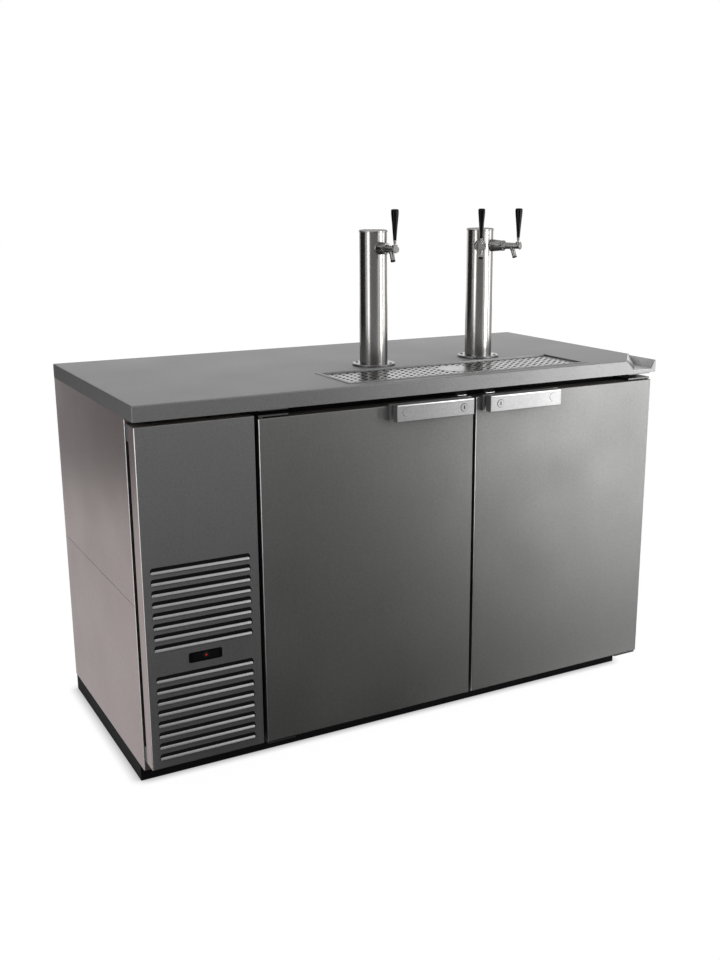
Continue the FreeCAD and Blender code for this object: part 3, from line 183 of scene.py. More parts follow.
def fins(name, grey):
    """A stack of thin fins seen from their edges, side by side along X; the dark bands between them are
    painted shade of the gaps.
    """
    look = Look(name)
    wave = look.add("ShaderNodeTexWave", wave_type="BANDS", bands_direction="X", Scale=1.0,
                    Distortion=0.15, Vector=look.place(even(125.0))).outputs["Fac"]
    look.shade(Metallic=0.9, Base_Color=look.tint(wave, even(0.02), even(grey)),
               Roughness=look.spread(look.noise(even(60.0)), 0.35, 0.5))
    look.bump(wave, 0.8, 0.002)
    return look.material


def lit_point(name, centre, near, far, glow):
    """Dark plastic with a red light behind it that fades out from its centre."""
    look = Look(name)
    coordinates = look.add("ShaderNodeTexCoord").outputs["Object"]
    away = look.add("ShaderNodeVectorMath", operation="DISTANCE")
    look.join((coordinates, away.inputs[0]))
    away.inputs[1].default_value = centre
    light = look.math("POWER", look.spread(away.outputs["Value"], 1.0, 0.0, near, far), 5.0)
    look.shade(Roughness=0.3, Base_Color=look.tint(light, (0.004, 0.003, 0.003), (0.9, 0.03, 0.02)),
               Emission_Color=(1.0, 0.02, 0.015, 1),
               Emission_Strength=look.math("MULTIPLY", light, glow))
    return look.material


# ------------------------------------------------------------------ finishes

grain_along, grain_across = 5.0, 900.0
ALONG_X = (grain_along, grain_across, grain_across)
ALONG_Z = (grain_across, grain_across, grain_along)
EVEN = even(300.0)

worktop_steel = steel("worktop_steel", 0.205, 0.58, ALONG_X, 0.00012, edge=0.8, patchy=0.06)
# A steel much paler than the worktop's for the dished corner: painted light
dish_lit_steel = steel("dish_lit_steel", 0.56, 0.50, ALONG_X, 0.00012, edge=0.8)
door_steel = steel("door_steel", 0.175, 0.56, ALONG_Z, 0.00012, hue=(1.0, 1.0, 0.98))
grille_steel = steel("grille_steel", 0.20, 0.56, ALONG_Z, 0.00012)
side_steel = steel("side_steel", 0.29, 0.32, ALONG_Z, 0.00012, hue=(1.17, 0.94, 0.92), edge=0.9)
tray_steel = steel("tray_steel", 0.24, 0.5, ALONG_X, 0.00008)
grid_steel = steel("grid_steel", 0.23, 0.30, ALONG_X, 0.00005)
satin_face = steel("faucet_face_steel", 0.25, 0.60, EVEN, 0.00004)
# Near-black steel for the painted shade inside the grid's holes
painted_shade_steel = steel("painted_shade_steel", 0.03, 0.6, EVEN, 0.00005)
flange_steel = steel("flange_steel", 0.21, 0.30, EVEN, 0.00004)
tower_steel = steel("polished_steel", 0.34, 0.19, ALONG_Z, 0.00001, hue=(1.02, 1.0, 0.97),
                    edge=0.5, vary=0.05)
faucet_steel = steel("faucet_steel", 0.23, 0.27, EVEN, 0.00003, hue=(1.01, 1.0, 0.98), edge=0.5,
                     vary=0.05)
handle_steel = steel("handle_steel", 0.30, 0.48, ALONG_X, 0.0001, edge=0.8)
# A steel paler than the grille's and the tray's, for the louvre lips and the tray's rim: painted light on
# them
lit_lip_steel = steel("lit_lip_steel", 0.30, 0.34, ALONG_X, 0.00005)
# Near-white steel for slim beads on edges: painted highlights
highlight_steel = steel("highlight_steel", 0.85, 0.34, ALONG_Z, 0.00005, edge=1.0)
zinc = steel("zinc_steel", 0.28, 0.46, EVEN, 0.0001)
dark_zinc = steel("dark_zinc", 0.09, 0.5, EVEN, 0.0001)
galvanised = steel("galvanised_steel", 0.40, 0.5, even(40.0), 0.0002, vary=0.2)
black_paint = dull("black_paint", (0.011, 0.011, 0.012), 0.6, shine=0.03)
black_rubber = dull("black_rubber", (0.013, 0.013, 0.013), 0.62, 0.0002, shine=0.25)
black_gloss = dull("black_gloss", (0.004, 0.004, 0.004), 0.22, 0.00001, shine=0.12)
display_gloss = dull("display_gloss", (0.004, 0.004, 0.005), 0.08, 0.00001, shine=0.4)
dark_plastic = dull("dark_plastic", (0.03, 0.03, 0.032), 0.5)
foam = dull("rigid_foam", (0.62, 0.52, 0.33), 0.85, 0.0012, even(260.0))
liner = stucco("liner_aluminium", 0.62, 0.42)
fin_stack = fins("fin_stack", 0.5)
copper = steel("copper_line", 0.5, 0.28, EVEN, 0.0001, hue=(1.6, 0.9, 0.55))
compressor_black = dull("compressor_black", (0.01, 0.01, 0.011), 0.25, 0.0004, even(60.0))
line_plastic = dull("line_plastic", (0.72, 0.72, 0.68), 0.3)


def each(stem, *ends):
    """Node names that share a stem."""
    return [stem + end for end in ends]


taps = ("left", "middle", "right")
sides = ("left", "right")
finishes = {
    worktop_steel: ["worktop_skin"],
    door_steel: each("door_skin_", *sides),
    grille_steel: ["grille_panel"],
    side_steel: each("side_panel_", "left_upper", "left_lower", "right"),
    tray_steel: ["drip_tray_pan"],
    grid_steel: ["drip_tray_grid"],
    tower_steel: each("tower_column_", *sides),
    flange_steel: ["tower_flanges"],
    faucet_steel: ["tower_caps", "tower_screws", "faucet_shanks", "coupling_nuts",
                   *each("faucet_body_", *taps), *each("faucet_lever_", *taps)],
    handle_steel: each("door_handle_", *sides),
    zinc: each("door_lock_", *sides),
    dark_zinc: ["lock_strikes", "hinge_brackets"],
    galvanised: ["floor_pan", "back_panel"],
    black_paint: ["base_long_rails", "base_cross_rails", "door_frame"],
    black_rubber: ["tower_gaskets", *each("door_gasket_", *sides)],
    black_gloss: ["temperature_display", *each("tap_handle_", *taps)],
    dark_plastic: ["mains_gland", "drip_tray_drain", "condenser_fan", "evaporator_fan", "fan_motors"],
    foam: [*each("insulation_", "floor", "back", "end_walls"), "worktop_insulation",
           *each("door_core_", *sides)],
    liner: ["keg_compartment_liner", *each("door_inner_panel_", *sides), "evaporator_cover"],
    fin_stack: ["condenser_coil", "evaporator_coil"],
    copper: ["refrigerant_lines"],
    compressor_black: ["compressor"],
    line_plastic: ["beer_line_risers"],
}
for finish, names in finishes.items():
    for name in names:
        node = nodes[name]
        if not node.material_slots:
            node.data.materials.append(finish)
        for slot in node.material_slots:
            slot.material = finish

# ------------------------------------------------------------------ mesh helpers


def corners_of(name):
    """The low and the high corner of a node's box."""
    low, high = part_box(name)
    return V(low), V(high)


def middle_of(name):
    low, high = corners_of(name)
    return (low + high) / 2


def add_piece(name, bm, material, body, smooth=35.0):
    """A named piece on a body; edges sharper than the smooth angle in degrees stay sharp."""
    mesh = bpy.data.meshes.new(name)
    bmesh.ops.recalc_face_normals(bm, faces=bm.faces)
    bm.to_mesh(mesh)
    bm.free()
    mesh.materials.append(material)
    piece = bpy.data.objects.new(name, mesh)
    scene.collection.objects.link(piece)
    mesh.shade_smooth()
    mesh.set_sharp_from_angle(angle=math.radians(smooth))
    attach(piece, body)
    return piece


def skin(bm, rings, close=False):
    """Joins rings of points with faces; a ring of one point is a pole."""
    pairs = list(zip(rings, rings[1:]))
    if close:
        pairs.append((rings[-1], rings[0]))
    for first, second in pairs:
        count = max(len(first), len(second))
        for i in range(count):
            j = (i + 1) % count
            corners = []
            for vert in (first[i % len(first)], first[j % len(first)],
                         second[j % len(second)], second[i % len(second)]):
                if vert not in corners:
                    corners.append(vert)
            if len(corners) > 2:
                bm.faces.new(corners)


def turned_rings(bm, profile, axis, segments, reach=lambda along, radius, angle: radius):
    """A ring for each (along, radius) point, round the local X axis of a frame."""
    rings = []
    for along, radius in profile:
        ring = []
        for i in range(segments if radius > 0 else 1):
            angle = math.tau * i / segments
            out = reach(along, radius, angle)
            ring.append(bm.verts.new(axis @ V((along, out * math.cos(angle), out * math.sin(angle)))))
        rings.append(ring)
    return rings


def lathe(bm, profile, axis, segments=48, close=False):
    """A turned form from (along, radius) points."""
    skin(bm, turned_rings(bm, profile, axis, segments), close)


def slab(bm, corners, offset):
    """A flat sheet with straight sides, from the corners of one face and its thickness."""
    near = [bm.verts.new(corner) for corner in corners]
    far = [bm.verts.new(corner + offset) for corner in corners]
    bm.faces.new(near)
    bm.faces.new(far[::-1])
    for i in range(len(near)):
        j = (i + 1) % len(near)
        bm.faces.new((near[j], near[i], far[i], far[j]))


def plate(bm, low, high, round_edge=0.0):
    """A box between two corners, its edges rounded."""
    made = bmesh.ops.create_cube(bm, size=1.0)["verts"]
    middle, reach = (low + high) / 2, high - low
    for vert in made:
        vert.co = V((middle[k] + vert.co[k] * reach[k] for k in range(3)))
    if round_edge:
        edges = list({edge for vert in made for edge in vert.link_edges})
        bmesh.ops.bevel(bm, geom=edges, offset=round_edge, segments=2, affect="EDGES")


def bead(bm, start, end, radius):
    """A slim round edge from one place to another, with rounded ends."""
    run = end - start
    length, lead = run.length, 0.3 * radius
    lathe(bm, [(0.0, 0.0), (lead, radius * 0.7), (radius, radius), (length - radius, radius),
               (length - lead, radius * 0.7), (length, 0.0)],
          Matrix.Translation(start) @ run.to_track_quat("X", "Z").to_matrix().to_4x4(), 12)


def facing(centre, way):
    """A frame at a place whose X axis points up, to the front or to the back."""
    turn, axis = {"up": (-0.5, "Y"), "front": (-0.5, "Z"), "back": (0.5, "Z")}[way]
    return Matrix.Translation(centre) @ Matrix.Rotation(turn * math.pi, 4, axis)


def ring_face(bm, centre, inner, outer, height):
    """A flat ring that faces the front, standing a little off what carries it."""
    soft = min(height, (outer - inner) / 3)
    lathe(bm, [(-height, inner), (height - soft, inner), (height, inner + soft),
               (height, outer - soft), (height - soft, outer), (-height, outer)],
          facing(centre, "front"))


# ------------------------------------------------------------------ faucets

tower_axis = {side: middle_of("tower_column_" + side) for side in sides}
faucet_height = 1.28
lever_out = 0.118
spout_out, spout_lean, spout_drop = 0.0985, 0.0105, 0.032
handle_foot = 0.023
# Each faucet's tower, and its turn from straight ahead in degrees
faucets = {"left": ("left", 0.0), "middle": ("right", -32.0), "right": ("right", 30.0)}


def faucet_frame(name):
    """A frame whose X runs out along a faucet's axis, Z up, on the tower's axis."""
    side, turn = faucets[name]
    at = tower_axis[side]
    out = Matrix.Rotation(math.radians(turn - 90.0), 4, "Z")
    return Matrix.Translation(V((at.x, at.y, faucet_height))) @ out


def upright(axis, up):
    """A frame whose X points up from a height over a faucet's axis, at its lever."""
    return axis @ facing(V((lever_out, 0, up)), "up")


body_profile = [
    (0.0690, 0.0040), (0.0690, 0.0103), (0.0762, 0.0103), (0.0766, 0.0096), (0.0776, 0.0092),
    (0.0800, 0.0092), (0.0803, 0.0088), (0.0812, 0.0088), (0.0815, 0.0091), (0.1165, 0.0080),
    (0.1215, 0.0079), (0.1222, 0.0083), (0.1226, 0.0094), (0.1230, 0.0098), (0.1248, 0.0098),
    (0.1253, 0.0094), (0.1256, 0.0082), (0.1257, 0.0070), (0.1254, 0.0064), (0.1254, 0.0)]
collar_profile = [
    (0.0, 0.0), (0.0, 0.0068), (0.0088, 0.0068), (0.0092, 0.0072), (0.0105, 0.0072),
    (0.0112, 0.0069), (0.0118, 0.0061), (0.0118, 0.0053), (0.0086, 0.0039), (0.0080, 0.0036)]
spout_profile = [
    (0.004, 0.0074), (0.0082, 0.0072), (0.0102, 0.0066), (0.0125, 0.0062), (0.0290, 0.0060),
    (0.0300, 0.0061), (0.0303, 0.0058), (0.0303, 0.0047), (0.0140, 0.0045)]
tip_profile = [
    (0.0302, 0.0046), (0.0302, 0.0062), (0.0306, 0.0065), (0.0328, 0.0065), (0.0335, 0.0062),
    (0.0337, 0.0056), (0.0337, 0.0046), (0.0325, 0.0044)]
face_profile = [
    (0.1250, 0.0), (0.1250, 0.0081), (0.1256, 0.0083), (0.1259, 0.0080), (0.1260, 0.0070),
    (0.1261, 0.0)]
lever_profile = [
    (-0.0010, 0.0), (-0.0010, 0.0018), (0.0055, 0.0018), (0.0068, 0.0029), (0.0085, 0.0033),
    (0.0104, 0.0029), (0.0128, 0.0028), (0.0150, 0.0028), (0.0158, 0.0036), (0.0162, 0.0043),
    (0.0176, 0.0044), (0.0182, 0.0040), (0.0192, 0.0033), (0.0200, 0.0033), (0.0210, 0.0039),
    (0.0216, 0.0044), (0.0228, 0.0044), (0.0230, 0.0042), (0.0230, 0.0024), (0.0350, 0.0024),
    (0.0350, 0.0)]
shank_profile = [
    (0.0301, 0.0041), (0.0301, 0.0098), (0.0306, 0.0103), (0.0345, 0.0103), (0.0345, 0.0168),
    (0.0400, 0.0170), (0.0406, 0.0166), (0.0412, 0.0160), (0.0424, 0.0159), (0.0430, 0.0163),
    (0.0440, 0.0163), (0.0660, 0.0141), (0.0676, 0.0138), (0.0686, 0.0131), (0.0688, 0.0110),
    (0.0688, 0.0041)]

# The tap handle swells evenly from its collar to its head, and turns from round to squarish
collar_end, swell_length, swell_steps = 0.0040, 0.0620, 12
foot_radius, swell, swell_power = 0.0047, 0.0049, 1.15
square_power, squareness, square_run = 3.2, 0.55, 0.05
handle_profile = [(0.0, 0.0025), (0.0, 0.0040), (0.0006, 0.0045), (collar_end, foot_radius)]
for step in range(1, swell_steps + 1):
    share = step / swell_steps
    handle_profile.append((collar_end + swell_length * share,
                           foot_radius + swell * share ** swell_power))
handle_profile += [(0.0700, 0.0098), (0.0745, 0.0097), (0.0765, 0.0093), (0.0778, 0.0082),
                   (0.0785, 0.0060), (0.0787, 0.0030), (0.0787, 0.0)]


def squarish(along, radius, angle):
    """The tap handle's reach from its axis at an angle."""
    c, s = abs(math.cos(angle)), abs(math.sin(angle))
    square = (c ** square_power + s ** square_power) ** (-1 / square_power)
    share = min(1.0, max(0.0, (along - collar_end) / square_run))
    return radius * (1 + (square - 1) * squareness * share)


for name in faucets:
    axis = faucet_frame(name)
    down = (axis @ Matrix.Translation(V((spout_out, 0, 0)))
            @ Matrix.Rotation(math.pi / 2 - math.atan2(spout_lean, spout_drop), 4, "Y"))
    bm = bmesh.new()
    lathe(bm, body_profile, axis, 64)
    lathe(bm, collar_profile, upright(axis, 0.0), 40)
    lathe(bm, spout_profile, down, 40)
    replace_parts(add_piece("faucet_dress_" + name, bm, faucet_steel, "cabinet"),
                "faucet_body_" + name)
    bm = bmesh.new()
    # A black ring at the spout's mouth: painted shade of the opening
    lathe(bm, tip_profile, down, 40, True)
    add_piece("spout_mouth_shade_" + name, bm, black_rubber, "cabinet")
    bm = bmesh.new()
    lathe(bm, face_profile, axis)
    add_piece("faucet_face_" + name, bm, satin_face, "cabinet")
    bm = bmesh.new()
    lathe(bm, lever_profile, upright(axis, 0.0), 40)
    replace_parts(add_piece("lever_dress_" + name, bm, faucet_steel, "lever_" + name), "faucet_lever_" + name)
    bm = bmesh.new()
    skin(bm, turned_rings(bm, handle_profile, upright(axis, handle_foot), 48, squarish))
    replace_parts(add_piece("tap_grip_" + name, bm, black_gloss, "lever_" + name, 60.0),
                "tap_handle_" + name)

# Shanks with stepped cone flanges
bm = bmesh.new()
for name in faucets:
    lathe(bm, shank_profile, faucet_frame(name), 64)
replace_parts(add_piece("shank_dress", bm, faucet_steel, "cabinet"),
            "faucet_shanks")

# Coupling nuts: six shallow notches round the rim, which fade towards its two edges
notch_depth, nut_segments, notch_every, notch_width = 0.0009, 96, 16, 4
nut_bore, nut_mouth, nut_shoulder, nut_rim = 0.0108, 0.0134, 0.0140, 0.0143
nut_profile = [(0.0693, nut_bore), (0.0693, nut_mouth), (0.0697, nut_shoulder), (0.0704, nut_rim),
               (0.0750, nut_rim), (0.0756, nut_shoulder), (0.0760, 0.0132), (0.0760, nut_bore)]
notch_shares = {nut_rim: 1.0, nut_shoulder: 0.3}


def notched(along, radius, angle):
    """The nut's reach from its axis at an angle."""
    station = round(angle / math.tau * nut_segments)
    if station % notch_every < notch_width:
        return radius - notch_depth * notch_shares.get(radius, 0.0)
    return radius


bm = bmesh.new()
for name in faucets:
    skin(bm, turned_rings(bm, nut_profile, faucet_frame(name), nut_segments, notched), True)
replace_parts(add_piece("coupling_dress", bm, faucet_steel, "cabinet"),
            "coupling_nuts")

# ------------------------------------------------------------------ louvres

worktop_low, worktop_high = corners_of("worktop_skin")
grille_low, grille_high = corners_of("grille_panel")
louvre_middle, louvre_left_reach, louvre_right_reach = worktop_low.x + 0.1473, 0.1235, 0.1205
left, right = louvre_middle - louvre_left_reach, louvre_middle + louvre_right_reach
louvre_rows = 8
# The middle height and the pitch of the upper and the lower bank
banks = ((0.475, 0.0274), (0.2008, 0.0285))
louvre_heights = [middle + pitch * (row - (louvre_rows - 1) / 2)
                  for middle, pitch in banks for row in range(louvre_rows)]
# The rolled lip's section, out from the panel and up from its foot
lip_section = [(0.0, 0.0), (-0.0022, 0.0002), (-0.0032, 0.0009), (-0.0034, 0.0017),
               (-0.0030, 0.0029), (-0.0019, 0.0054), (-0.0009, 0.0072), (0.0002, 0.0081),
               (0.0016, 0.0084), (0.0080, 0.0084), (0.0080, 0.0064), (0.0042, 0.0064),
               (0.0012, 0.0058), (-0.0001, 0.0040), (-0.0001, 0.0010)]
lip_fall, lip_middle = 0.0055, 0.0042
lip_end_run, lip_end_share, lip_end_steps = 0.0042, 0.35, 6

# The lips are in the paler lip steel: painted light, on top of the real upward tilt of their faces
bm = bmesh.new()
for height in louvre_heights:
    low = height - lip_fall
    ends = [(lip_end_run * (1 - math.cos(math.pi / 2 * k / lip_end_steps)),
             math.sin(math.pi / 2 * k / lip_end_steps)) for k in range(lip_end_steps + 1)]
    stations = [(left + run, rise) for run, rise in ends]
    stations += [(right - run, rise) for run, rise in reversed(ends)]
    rings = []
    for x, rise in stations:
        size = lip_end_share + (1 - lip_end_share) * rise
        rings.append([bm.verts.new((x, grille_low.y + dy * size,
                                    low + lip_middle + (dz - lip_middle) * size))
                      for dy, dz in lip_section])
    skin(bm, rings)
    bm.faces.new(rings[0])
    bm.faces.new(rings[-1])
add_piece("louvre_lips", bm, lit_lip_steel, "cabinet", 50.0)

# Painted shade in the slots over the lips: thin black plates with round ends, just proud of the panel where
# the slot's dark opening shows
slot_inset, slot_end, slot_half, slot_rise = 0.0044, 0.0058, 0.0085, 0.0030
slot_proud, slot_depth, slot_steps = 0.00015, 0.00055, 6
bm = bmesh.new()
for height in louvre_heights:
    arc = [math.pi * k / slot_steps - math.pi / 2 for k in range(slot_steps + 1)]
    outline = [(left + slot_inset - slot_end * math.cos(angle), slot_half * math.sin(angle))
               for angle in arc]
    outline += [(right - slot_inset + slot_end * math.cos(angle), slot_half * math.sin(angle))
                for angle in reversed(arc)]
    slab(bm, [V((x, grille_low.y - slot_proud, height + z + slot_rise)) for x, z in outline],
         V((0, slot_depth, 0)))
add_piece("louvre_slot_shade", bm, black_paint, "cabinet", 20.0)

# ------------------------------------------------------------------ edges and the worktop's corner

# Bent edges of the side panel and the grille panel, as slim beads in a near-white steel: painted highlights
panel_low = corners_of("side_panel_left_lower")[0]
panel_top = corners_of("side_panel_left_upper")[1].z
end_inset = 0.001


def standing_bead(bm, low, top, inward, back, radius, shortening=end_inset):
    """An upright edge a little inside a box's low corner, shorter than the box at both ends."""
    foot = low + V((inward, back, shortening))
    bead(bm, foot, V((foot.x, foot.y, top - shortening)), radius)


bm = bmesh.new()
standing_bead(bm, panel_low, panel_top, inward=0.001, back=0.0006, radius=0.0011,
              shortening=2 * end_inset)
standing_bead(bm, grille_low, grille_high.z, inward=0.001, back=0.001, radius=0.0010)
add_piece("panel_edge_highlights", bm, highlight_steel, "cabinet")

# The grille panel's return, which shows beside the side panel, covered with a thin plate in the paler side
# panel steel: painted light on its left face
return_out, return_in, return_start, return_end = -0.0004, 0.0003, 0.002, 0.043
bm = bmesh.new()
plate(bm, grille_low + V((return_out, return_start, end_inset)),
      V((grille_low.x + return_in, grille_low.y + return_end, grille_high.z - end_inset)))
add_piece("grille_return_lit", bm, side_steel, "cabinet")

# Painted highlights on the doors' edges on the left: slim beads in the near-white steel
for name in sides:
    low, high = corners_of("door_skin_" + name)
    bm = bmesh.new()
    standing_bead(bm, low, high.z, inward=0.0006, back=0.0007, radius=0.0008)
    add_piece("door_edge_highlight_" + name, bm, highlight_steel, "door_" + name)

# Dished corner: its floor, ramp and end, as thin plates in the pocket of the worktop, in a steel much paler
# than the worktop's: painted light over its shade
sheet = 0.0003
dish_end, dish_front = worktop_high.x - 0.0017, worktop_low.y + 0.0003
dish_floor, dish_top = 0.9361, worktop_high.z - 0.0004
floor_length, floor_depth, ramp_depth = 0.079, 0.0877, 0.0887
top_length, top_depth = 0.1075, 0.1202
end_front, end_back, end_top = 0.0012, 0.1147, 0.9606


def dish(inward, back, height):
    """A place in the dished corner, from its front right end."""
    return V((dish_end - inward, dish_front + back, height))


bm = bmesh.new()
slab(bm, [dish(floor_length, 0, dish_floor), dish(0, 0, dish_floor),
          dish(0, floor_depth, dish_floor)], V((0, 0, sheet)))
ramp = [dish(floor_length, 0, dish_floor), dish(0, ramp_depth, dish_floor),
        dish(0, top_depth, dish_top), dish(top_length, 0, dish_top)]
slab(bm, ramp, (ramp[1] - ramp[0]).cross(ramp[2] - ramp[0]).normalized() * sheet)
slab(bm, [dish(0, end_front, dish_floor + sheet), dish(0, floor_depth, dish_floor + sheet),
          dish(0, end_back, end_top), dish(0, end_front, end_top)], V((-sheet, 0, 0)))
add_piece("corner_dish", bm, dish_lit_steel, "cabinet")

# ------------------------------------------------------------------ drip tray

# Painted shade in the grid's holes: a near-black lining in each hole, round the blank disc
hole_margin, hole_pitch, blank_radius = 0.028, 0.0218, 0.0533
hole_profile = [(0.00005, 0.00435), (0.00008, 0.0042), (0.0, 0.00405), (-0.0014, 0.0041),
                (-0.0014, 0.00435)]
low, high = corners_of("drip_tray_grid")
centre = middle_of("drip_tray_grid")
columns = int((high.x - low.x - hole_margin) / hole_pitch)
rows = int((high.y - low.y - hole_margin) / hole_pitch)
bm = bmesh.new()
for column in range(columns + 1):
    for row in range(rows + 1):
        away = V((hole_pitch * (column - columns / 2), hole_pitch * (row - rows / 2), 0))
        if away.length > blank_radius:
            place = V((centre.x + away.x, centre.y + away.y, high.z))
            lathe(bm, hole_profile, facing(place, "up"), 16, True)
add_piece("grid_hole_shade", bm, painted_shade_steel, "tray_grid", 60.0)

# The tray's rim: a round bead, in the paler lip steel for a painted highlight
rim_radius, rim_drop = 0.0006, 0.0004
low, high = corners_of("drip_tray_pan")
rim = high.z - rim_drop
corners = [V((low.x, low.y, rim)), V((high.x, low.y, rim)), V((high.x, high.y, rim)),
           V((low.x, high.y, rim))]
bm = bmesh.new()
for start, end in zip(corners, corners[1:] + corners[:1]):
    bead(bm, start, end, rim_radius)
add_piece("tray_rim_edge", bm, lit_lip_steel, "cabinet")

# ------------------------------------------------------------------ locks, handles and display

# Lock strikes: dark tabs with a rolled lip in the near-white steel, a painted highlight
low, high = corners_of("lock_strikes")
tab_width, tab_sheet, tab_foot, tab_gap = 0.034, 0.002, 0.0015, 0.0003
roll_radius, roll_start, roll_overhang, roll_back = 0.0011, 0.006, 0.001, 0.001
tabs, rolls = bmesh.new(), bmesh.new()
for start, end in ((low.x, low.x + tab_width), (high.x - tab_width, high.x)):
    plate(tabs, V((start, low.y, low.z + tab_foot)),
          V((end, low.y + tab_sheet, high.z - tab_gap)), tab_gap)
    plate(tabs, V((start, low.y + tab_sheet, high.z - tab_gap - tab_sheet)),
          V((end, high.y, high.z - tab_gap)), tab_gap)
    roll = V((0, low.y + roll_back, low.z + roll_radius))
    bead(rolls, roll + V((start + roll_start, 0, 0)), roll + V((end + roll_overhang, 0, 0)),
         roll_radius)
strike = add_piece("strike_tabs", tabs, black_paint, "cabinet")
add_piece("strike_lip_highlights", rolls, highlight_steel, "cabinet")
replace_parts(strike, "lock_strikes")

# Handles: a near-white bead on the top edge, a painted highlight; blank discs; black rings round the discs
# and the locks, painted shade of their grooves; and black keyway plates, painted shade of the key slots, that
# turn with the locks
handle_flange, disc_inset, lock_inset = 0.007, 0.027, 0.031
grip_back, disc_height, lock_height = 0.0012, 0.893, 0.890
edge_radius, edge_back, edge_drop, edge_gap = 0.0024, 0.0032, 0.002, 0.0004
disc_radius, disc_groove_shade, lock_groove_shade = 0.0102, (0.0104, 0.0113), (0.0094, 0.0108)
disc_proud, groove_shade_proud = 0.0006, 0.0003
key_back, key_round, key_half = 0.00005, 0.0001, V((0.0017, 0.00025, 0.0046))
for name, side in (("left", 1), ("right", -1)):
    low, high = corners_of("door_handle_" + name)
    start, end = low.x + handle_flange, high.x - handle_flange
    outer, inner = (start, end) if side > 0 else (end, start)
    disc = V((outer + side * disc_inset, low.y + grip_back, disc_height))
    lock = V((inner - side * lock_inset, low.y + grip_back, lock_height))
    edge = V((0, low.y + edge_back, high.z - edge_drop))
    # The top edge's painted highlight
    bm = bmesh.new()
    bead(bm, edge + V((start + edge_gap, 0, 0)), edge + V((end - edge_gap, 0, 0)), edge_radius)
    add_piece("handle_edge_highlight_" + name, bm, highlight_steel, "door_" + name)
    bm = bmesh.new()
    ring_face(bm, disc, 0.0, disc_radius, disc_proud)
    add_piece("handle_disc_" + name, bm, handle_steel, "door_" + name)
    # Black rings, painted shade of the grooves round the disc and the lock
    bm = bmesh.new()
    ring_face(bm, disc, *disc_groove_shade, groove_shade_proud)
    ring_face(bm, lock, *lock_groove_shade, groove_shade_proud)
    add_piece("handle_groove_shade_" + name, bm, black_rubber, "door_" + name)
    # A black plate, painted shade of the lock's key slot
    bm = bmesh.new()
    key = V((lock.x, low.y + key_back, lock_height))
    plate(bm, key - key_half, key + key_half, key_round)
    add_piece("lock_keyway_shade_" + name, bm, black_rubber, "lock_" + name)

# Display: a window set in the black surround, with a lit red point
window_half, window_proud, window_sunk = V((0.033, 0, 0.0086)), 0.0004, 0.0002
light_offset, light_proud = V((0.00125, -0.0005, 0.001)), V((0, -0.0001, 0))
light_core, light_reach, light_strength = 0.0004, 0.0062, 0.55
display = middle_of("temperature_display")
display.y = corners_of("temperature_display")[0].y
bm = bmesh.new()
plate(bm, display - window_half - V((0, window_proud, 0)),
      display + window_half + V((0, window_sunk, 0)), window_proud)
add_piece("display_window", bm, display_gloss, "cabinet")
light = display + light_offset
red_light = lit_point("red_light", light + light_proud, light_core, light_reach, light_strength)
bm = bmesh.new()
lathe(bm, [(-0.0004, 0.0), (-0.0004, 0.0074), (0.0, 0.0078), (0.0001, 0.0074), (0.0001, 0.0)],
      facing(light, "front"))
add_piece("display_point", bm, red_light, "cabinet")

# ------------------------------------------------------------------ base, back and evaporator

# Base rail ends, closed with thin plates
rails_low, rails_high = corners_of("base_long_rails")
cross_low, cross_high = corners_of("base_cross_rails")
end_sheet, end_gap, rail_top = 0.0004, 0.0002, 0.0456
bm = bmesh.new()
for x in (rails_low.x, rails_high.x - end_sheet):
    for front, back in ((rails_low.y, cross_low.y), (cross_high.y, rails_high.y)):
        plate(bm, V((x, front + end_gap, end_sheet)), V((x + end_sheet, back - end_gap, rail_top)))
add_piece("base_rail_ends", bm, black_paint, "cabinet")

# Screws round the back panel
left_inset, right_inset, low_inset, high_inset = 0.0168, 0.0186, 0.018, 0.017
spaces_along, spaces_up, screw_proud = 9, 5, 0.0002
low, high = corners_of("back_panel")
first, last = low.x + left_inset, high.x - right_inset
bottom, top = low.z + low_inset, high.z - high_inset
places = [(first + (last - first) * k / spaces_along, z)
          for k in range(spaces_along + 1) for z in (bottom, top)]
places += [(x, bottom + (top - bottom) * k / spaces_up)
           for k in range(1, spaces_up) for x in (first, last)]
screw_profile = [(-0.0004, 0.0), (-0.0004, 0.0046), (0.0004, 0.0046), (0.0013, 0.0036),
                 (0.0018, 0.0020), (0.0019, 0.0)]
bm = bmesh.new()
for x, z in places:
    lathe(bm, screw_profile, facing(V((x, high.y + screw_proud, z)), "back"), 16)
add_piece("back_screws", bm, zinc, "cabinet")

# Wire guard over the evaporator fan's outlet
wire, guard_radii, guard_gap = 0.001, (0.075, 0.060, 0.045, 0.030, 0.015), 0.0012
spokes, spoke_reach, spoke_lean = 4, 0.0755, 0.39
outlet = middle_of("evaporator_cover")
outlet.x = corners_of("evaporator_cover")[1].x + guard_gap
guard = Matrix.Translation(outlet)
wire_section = [(wire * math.cos(math.tau * k / 8), wire * math.sin(math.tau * k / 8))
                for k in range(8)]
bm = bmesh.new()
for radius in guard_radii:
    lathe(bm, [(along, radius + away) for along, away in wire_section], guard, 64, True)
for spoke in range(spokes):
    run = Matrix.Rotation(math.pi * spoke / spokes + spoke_lean, 3, "X") @ V((0, 0, spoke_reach))
    start, end = V((guard_gap, 0, 0)) + run, V((guard_gap, 0, 0)) - run
    bead(bm, guard @ start, guard @ end, wire)
add_piece("evaporator_guard", bm, zinc, "cabinet")

# ------------------------------------------------------------------ towers

